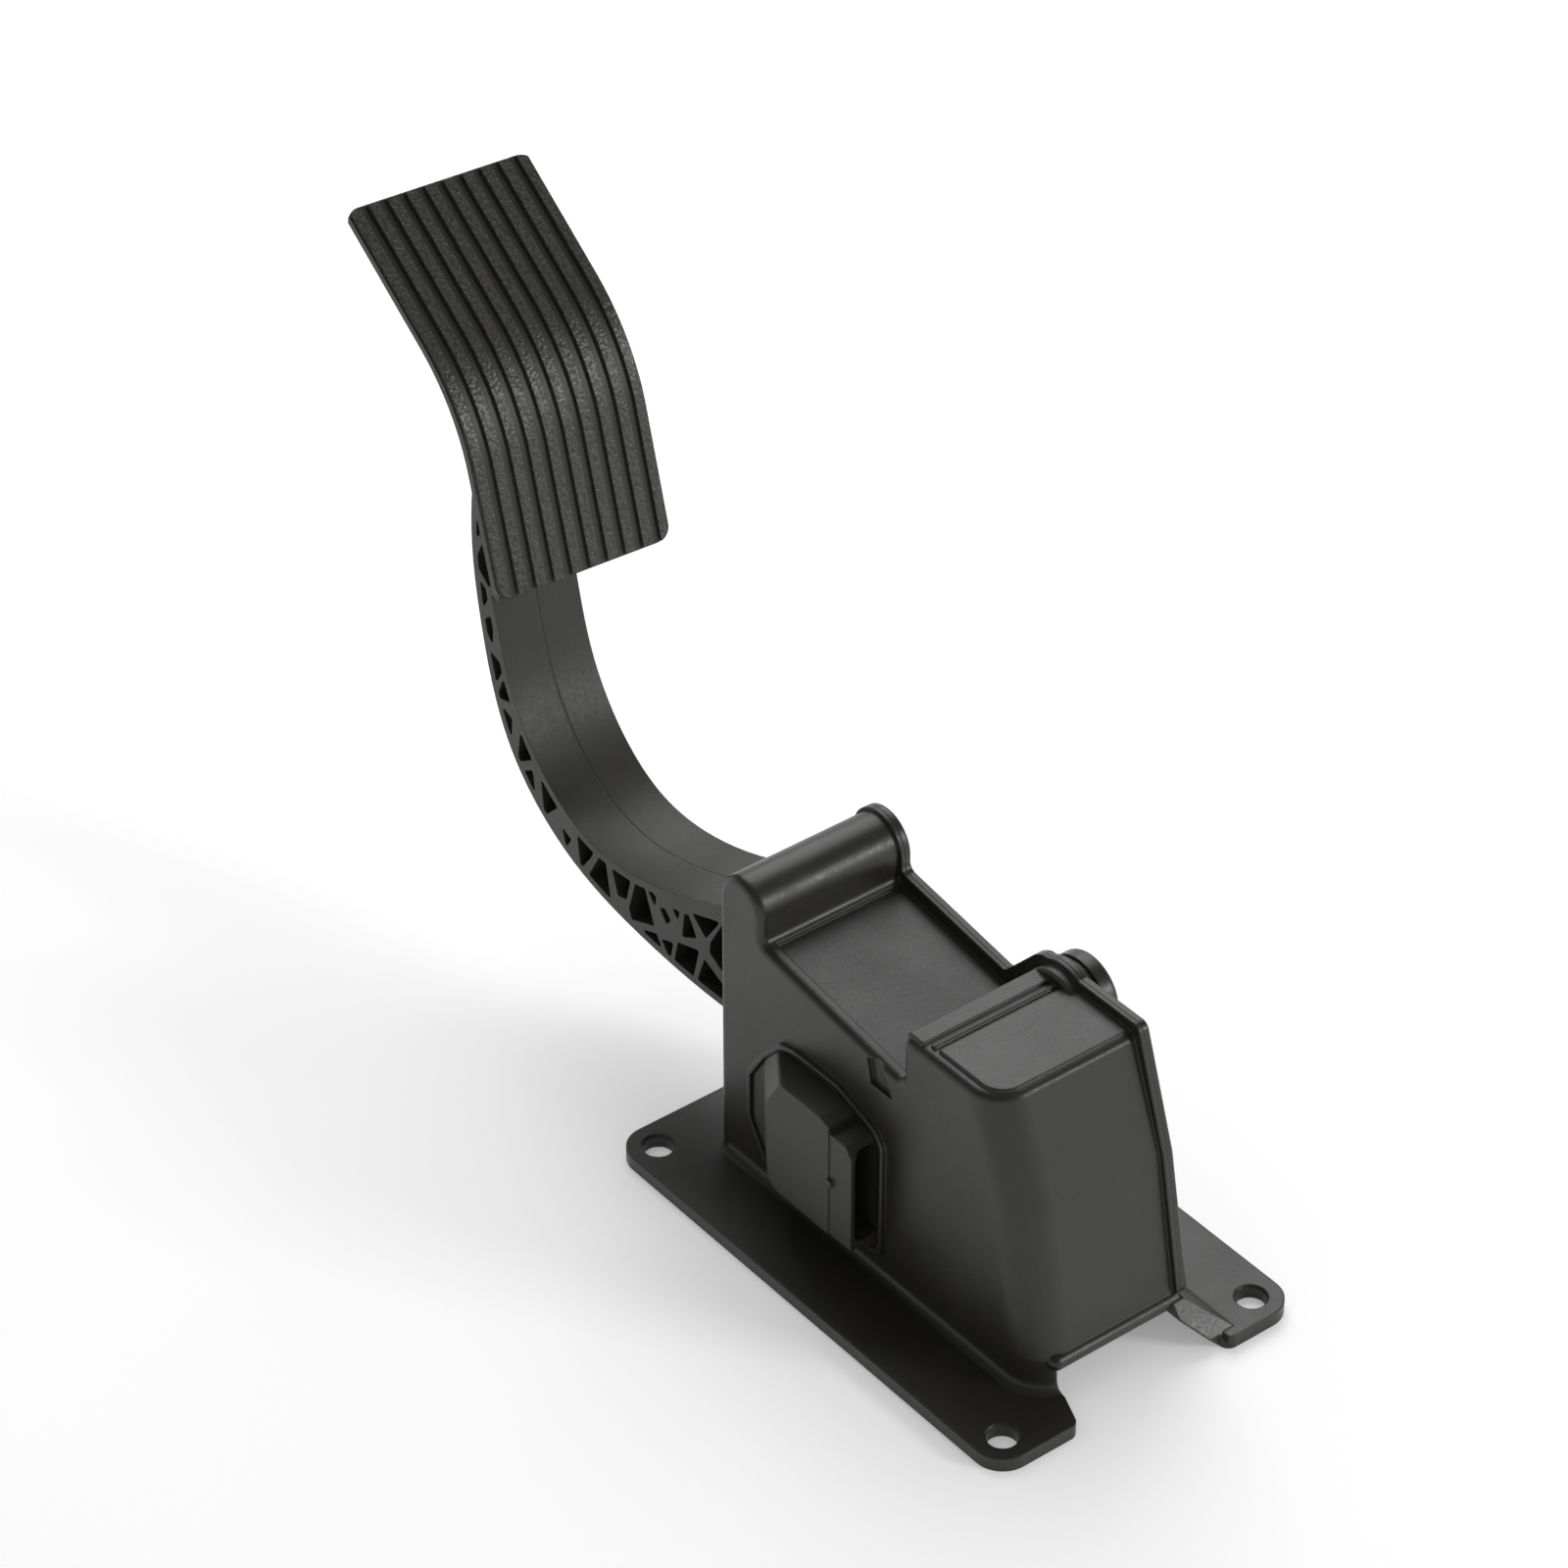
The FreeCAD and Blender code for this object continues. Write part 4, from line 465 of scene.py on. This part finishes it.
# %% The rings of one screw
DRIVE_RADIUS, CROWN_RADII, UNDERSIDE_RADIUS = 0.52, (0.68, 0.84, 0.95), 0.96
DRIVE_FLOOR_TAPER = 0.85
DRIVE_DEPTH, CROWN_DROP, RIM_TOP, RIM_FOOT = 0.72, 0.35, 0.55, 0.95
NECK_RADIUS, THREAD_CORE, THREAD_RIDGE, TIP_RADIUS, TIP_END_RADIUS = 0.8, 0.78, 0.22, 0.7, 0.3
NECK_PITCHES, TIP_PITCHES, RINGS_EACH_PITCH = 0.4, 0.6, 8


def screw_rings(head_radius, head_height, shank_radius, length, pitch):
    """Places along X, from the top of the head at 0 to the tip, each with its ring."""
    def crown(radius):
        """Where the domed top of the head is at a radius."""
        return -CROWN_DROP * head_height * (radius / head_radius) ** 2

    drive = DRIVE_RADIUS * head_radius
    rings = [(-DRIVE_DEPTH * head_height, lobed_ring(DRIVE_FLOOR_TAPER * drive)),
             (crown(drive), lobed_ring(drive))]
    rings += [(crown(part * head_radius), round_ring(part * head_radius)) for part in CROWN_RADII]
    rings += [(-RIM_TOP * head_height, round_ring(head_radius)),
              (-RIM_FOOT * head_height, round_ring(head_radius)),
              (-head_height, round_ring(UNDERSIDE_RADIUS * head_radius)),
              (-head_height, round_ring(NECK_RADIUS * shank_radius))]
    along = head_height + NECK_PITCHES * pitch
    while along < length - pitch:
        rings.append((-along, threaded_ring(THREAD_CORE * shank_radius, THREAD_RIDGE * shank_radius,
                                            along / pitch)))
        along += pitch / RINGS_EACH_PITCH
    rings += [(-length + TIP_PITCHES * pitch, round_ring(TIP_RADIUS * shank_radius)),
              (-length, round_ring(TIP_END_RADIUS * shank_radius))]
    return rings


print("one thread is", RINGS_EACH_PITCH, "rings")

# %% [markdown]
# The rings are skinned with four-sided faces, and the two end rings are closed. Smooth
# shading rounds the dome and the thread, and the rim and drive stay crisp because edges
# above a set angle are kept sharp.

# %% Skin the rings
RING_STEPS = 48
SHARP_DEGREES = 38


def skinned(name, rings):
    """An object with a closed skin over a stack of rings."""
    shape = bmesh.new()
    angles = [2 * math.pi * step / RING_STEPS for step in range(RING_STEPS)]
    loops = [[shape.verts.new((place, radius_at(angle) * math.cos(angle), radius_at(angle) * math.sin(angle)))
              for angle in angles] for place, radius_at in rings]
    for near, far in zip(loops, loops[1:]):
        for step in range(RING_STEPS):
            after = (step + 1) % RING_STEPS
            shape.faces.new((near[step], near[after], far[after], far[step]))
    shape.faces.new(loops[0])
    shape.faces.new(loops[-1])
    bmesh.ops.recalc_face_normals(shape, faces=shape.faces)
    mesh = bpy.data.meshes.new(name)
    shape.to_mesh(mesh)
    shape.free()
    mesh.shade_smooth()
    mesh.set_sharp_from_angle(angle=math.radians(SHARP_DEGREES))
    made = bpy.data.objects.new(name, mesh)
    bpy.context.scene.collection.objects.link(made)
    return made


print("each ring has", RING_STEPS, "points")

# %% [markdown]
# The places of the screws are found from the solids themselves: each separate island of
# the node's mesh is one screw. The springs below are measured in the same way.

# %% Where the screws are
WELD_MM = 0.001


def islands(node):
    """Lowest and highest corner of each separate solid in a node's mesh."""
    shape = bmesh.new()
    shape.from_mesh(node.data)
    bmesh.ops.remove_doubles(shape, verts=shape.verts, dist=WELD_MM * MM)
    waiting = set(shape.verts)
    boxes = []
    while waiting:
        wave = [waiting.pop()]
        found = []
        while wave:
            vert = wave.pop()
            found.append(vert.co.copy())
            for edge in vert.link_edges:
                other = edge.other_vert(vert)
                if other in waiting:
                    waiting.remove(other)
                    wave.append(other)
        boxes.append((Vector([min(place[axis] for place in found) for axis in range(3)]),
                      Vector([max(place[axis] for place in found) for axis in range(3)])))
    shape.free()
    return sorted(boxes, key=lambda box: tuple(box[0]))


print("screws found", {name: len(islands(nodes[name])) for name in ("cover_screws", "lid_screws")})

# %% [markdown]
# Geometry Nodes put one screw on each point and turn each by its own chance about its
# axis, as no two screws end up tightened to the same angle. The seed is fixed, so the
# angles are the same in each run.

# %% The tree that copies a screw to points
def copy_to_points_tree():
    """A tree with one turned copy of a screw on each of its points."""
    tree = bpy.data.node_groups.new("screws_on_points", "GeometryNodeTree")
    for name, kind in (("Points", "NodeSocketGeometry"), ("Screw", "NodeSocketObject"),
                       ("Finish", "NodeSocketMaterial"), ("Seed", "NodeSocketInt")):
        tree.interface.new_socket(name, in_out="INPUT", socket_type=kind)
    tree.interface.new_socket("Screws", in_out="OUTPUT", socket_type="NodeSocketGeometry")
    given = add_node(tree, "NodeGroupInput").outputs
    screw = add_node(tree, "GeometryNodeObjectInfo", {"Object": given["Screw"]})
    turn = add_node(tree, "FunctionNodeRandomValue",
                    {"Min": (0, 0, 0), "Max": (2 * math.pi, 0, 0), "Seed": given["Seed"]},
                    data_type="FLOAT_VECTOR")
    copies = add_node(tree, "GeometryNodeInstanceOnPoints",
                      {"Points": given["Points"], "Instance": screw.outputs["Geometry"],
                       "Rotation": turn.outputs["Value"]})
    real = add_node(tree, "GeometryNodeRealizeInstances", {"Geometry": copies.outputs["Instances"]})
    dressed = add_node(tree, "GeometryNodeSetMaterial",
                       {"Geometry": real.outputs["Geometry"], "Material": given["Finish"]})
    add_node(tree, "NodeGroupOutput", {"Screws": dressed.outputs["Geometry"]})
    return tree


screw_tree = copy_to_points_tree()
print("screw tree of", len(screw_tree.nodes), "nodes")

# %% [markdown]
# A tree's result has to become a plain mesh before it can stand for a solid. The tree
# starts from an object that carries only points or a line. Its inputs are set, its result
# is read once as a new mesh, and the object that carried it is taken away again.

# %% From a tree to a piece of the pedal
def piece_from_tree(tree, name, points, edges, inputs):
    """A plain piece that a tree makes from points and edges, with its inputs given by name."""
    start = bpy.data.meshes.new(name + "_start")
    start.from_pydata(points, edges, [])
    carrier = bpy.data.objects.new(name + "_start", start)
    bpy.context.scene.collection.objects.link(carrier)
    modifier = carrier.modifiers.new("tree", "NODES")
    modifier.node_group = tree
    for socket in tree.interface.items_tree:
        if socket.in_out == "INPUT" and socket.name in inputs:
            modifier[socket.identifier] = inputs[socket.name]
    shown = carrier.evaluated_get(bpy.context.evaluated_depsgraph_get())
    piece = bpy.data.objects.new(name, bpy.data.meshes.new_from_object(shown))
    carrier.modifiers.clear()
    bpy.data.objects.remove(carrier)
    bpy.context.scene.collection.objects.link(piece)
    return piece


def stand_in(piece, node_name):
    """Fixes a piece to the housing and hides the solid that it stands for."""
    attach(piece, "housing")
    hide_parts(node_name)


# %% The screws
SHANK_SHARE = 0.48


def screws_from(node_name, piece_name, head_height, pitch, seed):
    """Detailed screws in place of a node of plain ones, in its own places and sizes."""
    boxes = islands(nodes[node_name])
    size = boxes[0][1] - boxes[0][0]
    head_radius = size.y / 2
    rings = screw_rings(head_radius, head_height, SHANK_SHARE * head_radius, size.x, pitch)
    screw = skinned(piece_name + "_one", rings)
    head_tops = [(high.x, (low.y + high.y) / 2, (low.z + high.z) / 2) for low, high in boxes]
    piece = piece_from_tree(screw_tree, piece_name, head_tops, [],
                            {"Screw": screw, "Finish": zinc_plate, "Seed": seed})
    bpy.data.objects.remove(screw)
    stand_in(piece, node_name)
    print(piece_name, len(boxes), "screws,", len(piece.data.polygons), "faces")


screws_from("cover_screws", "lobed_cover_screws", 2.6 * MM, 1.4 * MM, 3)
screws_from("lid_screws", "lobed_lid_screws", 1.4 * MM, 0.8 * MM, 5)

# %% [markdown]
# Return springs
#
# Two coil springs, one inside the other, push the pedal back. They are wound from round
# wire, and their end turns are wound closed so that they stand square. Each spring is
# wound again here as a coil of wire, in place of its solid.
#
# The tree starts from a straight line of points and winds it up by each point's number.
# The number gives the turn that the point is in. The height climbs by one ramp over the
# closed turn at the foot, one over the open turns and one over the closed turn at the
# head, and a round section swept along the wound line gives the wire.

# %% The tree that winds a spring
POINTS_EACH_TURN = 40
WIRE_SIDES = 14


def spring_tree():
    """A tree that winds a line of points into a spring with closed end turns."""
    tree = bpy.data.node_groups.new("wound_spring", "GeometryNodeTree")
    for name, kind in (("Line", "NodeSocketGeometry"), ("Turns", "NodeSocketFloat"),
                       ("Coil Radius", "NodeSocketFloat"), ("Wire Radius", "NodeSocketFloat"),
                       ("Closed Rise", "NodeSocketFloat"), ("Open Rise", "NodeSocketFloat"),
                       ("Foot", "NodeSocketVector"), ("Finish", "NodeSocketMaterial")):
        tree.interface.new_socket(name, in_out="INPUT", socket_type=kind)
    tree.interface.new_socket("Spring", in_out="OUTPUT", socket_type="NodeSocketGeometry")
    given = add_node(tree, "NodeGroupInput").outputs
    number = add_node(tree, "GeometryNodeInputIndex").outputs["Index"]
    turn = add_node(tree, "ShaderNodeMath", {0: number, 1: POINTS_EACH_TURN},
                    operation="DIVIDE").outputs["Value"]
    angle = add_node(tree, "ShaderNodeMath", {0: turn, 1: 2 * math.pi}, operation="MULTIPLY")
    head = add_node(tree, "ShaderNodeMath", {0: given["Turns"], 1: 1.0},
                    operation="SUBTRACT").outputs["Value"]
    height = given["Wire Radius"]
    for first, last, rise in ((0.0, 1.0, given["Closed Rise"]), (1.0, head, given["Open Rise"]),
                              (head, given["Turns"], given["Closed Rise"])):
        ramp = add_node(tree, "ShaderNodeMapRange",
                        {"Value": turn, "From Min": first, "From Max": last, "To Max": rise})
        height = add_node(tree, "ShaderNodeMath", {0: height, 1: ramp.outputs["Result"]},
                          operation="ADD").outputs["Value"]
    beside = add_node(tree, "ShaderNodeCombineXYZ", {"X": given["Coil Radius"], "Z": height})
    coiled = add_node(tree, "ShaderNodeVectorRotate",
                      {"Vector": beside.outputs["Vector"], "Angle": angle.outputs["Value"]},
                      rotation_type="Z_AXIS")
    moved = add_node(tree, "ShaderNodeVectorMath", {0: coiled.outputs["Vector"], 1: given["Foot"]},
                     operation="ADD")
    wound = add_node(tree, "GeometryNodeSetPosition",
                     {"Geometry": given["Line"], "Position": moved.outputs["Vector"]})
    path = add_node(tree, "GeometryNodeMeshToCurve", {"Mesh": wound.outputs["Geometry"]})
    section = add_node(tree, "GeometryNodeCurvePrimitiveCircle",
                       {"Resolution": WIRE_SIDES, "Radius": given["Wire Radius"]}, mode="RADIUS")
    wire = add_node(tree, "GeometryNodeCurveToMesh",
                    {"Curve": path.outputs["Curve"], "Profile Curve": section.outputs["Curve"],
                     "Fill Caps": True})
    real = add_node(tree, "GeometryNodeRealizeInstances", {"Geometry": wire.outputs["Mesh"]})
    dressed = add_node(tree, "GeometryNodeSetMaterial",
                       {"Geometry": real.outputs["Geometry"], "Material": given["Finish"]})
    add_node(tree, "NodeGroupOutput", {"Spring": dressed.outputs["Geometry"]})
    return tree


winding_tree = spring_tree()
print("spring tree of", len(winding_tree.nodes), "nodes")

# %% [markdown]
# The cup rises by its whole slide at the pedal's full travel, and each spring gets
# shorter by just that. Here each spring is wound once, at the length of its solid.

# %% Two wound springs
TURN_GAP = 0.2 * MM


def wound_spring(node_name, piece_name, wire, turns):
    """A spring in place of a solid one, between the same two faces."""
    low, high = islands(nodes[node_name])[0]
    size = high - low
    closed_rise = wire + TURN_GAP
    count = turns * POINTS_EACH_TURN + 1
    line = [(0, 0, step * MM) for step in range(count)]
    links = [(step, step + 1) for step in range(count - 1)]
    piece = piece_from_tree(winding_tree, piece_name, line, links,
                            {"Turns": float(turns), "Coil Radius": (size.x - wire) / 2,
                             "Wire Radius": wire / 2, "Closed Rise": closed_rise,
                             "Open Rise": size.z - wire - 2 * closed_rise,
                             "Foot": ((low.x + high.x) / 2, (low.y + high.y) / 2, low.z),
                             "Finish": spring_steel})
    shape = bmesh.new()
    shape.from_mesh(piece.data)
    bmesh.ops.recalc_face_normals(shape, faces=shape.faces)
    shape.to_mesh(piece.data)
    shape.free()
    piece.data.shade_smooth()
    stand_in(piece, node_name)
    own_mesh(piece)
    print(piece_name, "length in mm", round(size.z / MM, 1), "faces", len(piece.data.polygons))


wound_spring("outer_return_spring", "outer_wound_spring", 2.2 * MM, 5)
wound_spring("inner_return_spring", "inner_wound_spring", 1.6 * MM, 6)

# %% [markdown]
# Studio
#
# A white table under two soft lamps, a broad one behind the pedal and a smaller one far
# in front of its right side, so the shadow falls softly to the left. The lamps stay weak
# enough for colours to come out about as written. The white background comes from the
# table's own colour and from a glow that only the eye, a mirror or glass would see. To the
# eye the glow is faint near the pedal and grows with distance, so that the table runs into
# the white behind it in low views.

# %% What is only background
def seen_directly(tree):
    """1 for rays that show the background to the eye, a mirror or glass, and 0 for light on the object."""
    rays = add_node(tree, "ShaderNodeLightPath")
    seen = add_node(tree, "ShaderNodeMath",
                    {0: rays.outputs["Is Camera Ray"], 1: rays.outputs["Is Glossy Ray"]}, operation="MAXIMUM")
    seen = add_node(tree, "ShaderNodeMath",
                    {0: seen.outputs["Value"], 1: rays.outputs["Is Transmission Ray"]}, operation="MAXIMUM")
    return seen.outputs["Value"]


# %% Floor
FLOOR_SIDE = 8.0
FLOOR_DROP_MM = 0.02
TABLE_COLOUR, TABLE_ROUGH, TABLE_SPECULAR = "f7f7f7", 0.9, 0.1
NEAR_GLOW, FAR_GLOW = 0.25, 0.9
FADE_START, FADE_END = 0.4, 1.6
WHITE = (1, 1, 1, 1)

half = FLOOR_SIDE / 2
floor_mesh = bpy.data.meshes.new("floor")
floor_mesh.from_pydata([(-half, -half, 0), (half, -half, 0), (half, half, 0), (-half, half, 0)],
                       [], [(0, 1, 2, 3)])
floor = bpy.data.objects.new("floor", floor_mesh)
floor.location.z = cad_low.z - FLOOR_DROP_MM * MM
bpy.context.scene.collection.objects.link(floor)
table_white, tree, shader, place = start_material(
    "white_table", Base_Color=linear(TABLE_COLOUR), Roughness=TABLE_ROUGH,
    Specular_IOR_Level=TABLE_SPECULAR, Emission_Color=WHITE)
away = add_node(tree, "ShaderNodeVectorMath", {0: place}, operation="LENGTH").outputs["Value"]
rays = add_node(tree, "ShaderNodeLightPath")
fade = add_node(tree, "ShaderNodeMapRange",
                {"Value": away, "From Min": FADE_START, "From Max": FADE_END,
                 "To Min": NEAR_GLOW, "To Max": FAR_GLOW}, interpolation_type="SMOOTHSTEP")
to_eye = add_node(tree, "ShaderNodeMix",
                  {"Factor": rays.outputs["Is Camera Ray"], "A": NEAR_GLOW, "B": fade.outputs["Result"]})
glow = add_node(tree, "ShaderNodeMath",
                {0: seen_directly(tree), 1: to_eye.outputs["Result"]}, operation="MULTIPLY")
link_shader(tree, shader, Emission_Strength=glow.outputs["Value"])
floor_mesh.materials.append(table_white)
print("floor", FLOOR_SIDE, "m wide")

# %% Lamps
def softbox(name, place, target, side, watts):
    """Square lamp that faces its target."""
    data = bpy.data.lights.new(name, "AREA")
    data.shape = "SQUARE"
    data.size = side
    data.energy = watts
    aim(bpy.data.objects.new(name, data), place, target)


softbox("back_softbox", place=(0.76, 1.0, 1.28), target=(0, 0.1, 0.08), side=1.4, watts=17.0)
softbox("right_softbox", place=(1.95, -2.9, 1.46), target=(0, 0.2, 0.2), side=0.85, watts=44.0)

# %% [markdown]
# The world is plain white to the eye. It lights the object evenly and more weakly, and
# what a gloss mirrors of it is a bright band near the horizon that darkens upwards, as in
# a room with pale walls and an unlit ceiling.

# %% World
BACKDROP_STRENGTH, SKY_LIGHT = 1.0, 0.4
HORIZON_STRENGTH, ZENITH_STRENGTH = 1.0, 0.12
BAND_END, DARK_START = 0.05, 0.4

world = bpy.data.worlds.new("studio")
bpy.context.scene.world = world
world.use_nodes = True
tree = world.node_tree
background = tree.nodes["Background"]
background.inputs["Color"].default_value = WHITE
direction = add_node(tree, "ShaderNodeTexCoord").outputs["Generated"]
height = add_node(tree, "ShaderNodeSeparateXYZ", {"Vector": direction}).outputs["Z"]
dome = add_node(tree, "ShaderNodeMapRange",
                {"Value": height, "From Min": BAND_END, "From Max": DARK_START,
                 "To Min": HORIZON_STRENGTH, "To Max": ZENITH_STRENGTH}, interpolation_type="SMOOTHSTEP")
strength = add_node(tree, "ShaderNodeMix",
                    {"Factor": seen_directly(tree), "A": SKY_LIGHT, "B": dome.outputs["Result"]})
rays = add_node(tree, "ShaderNodeLightPath")
backdrop = add_node(tree, "ShaderNodeMix",
                    {"Factor": rays.outputs["Is Camera Ray"], "A": strength.outputs["Result"],
                     "B": BACKDROP_STRENGTH})
link_shader(tree, background, Strength=backdrop.outputs["Result"])
bpy.context.scene.view_settings.view_transform = "Standard"
print("world", world.name, "of", len(tree.nodes), "nodes")
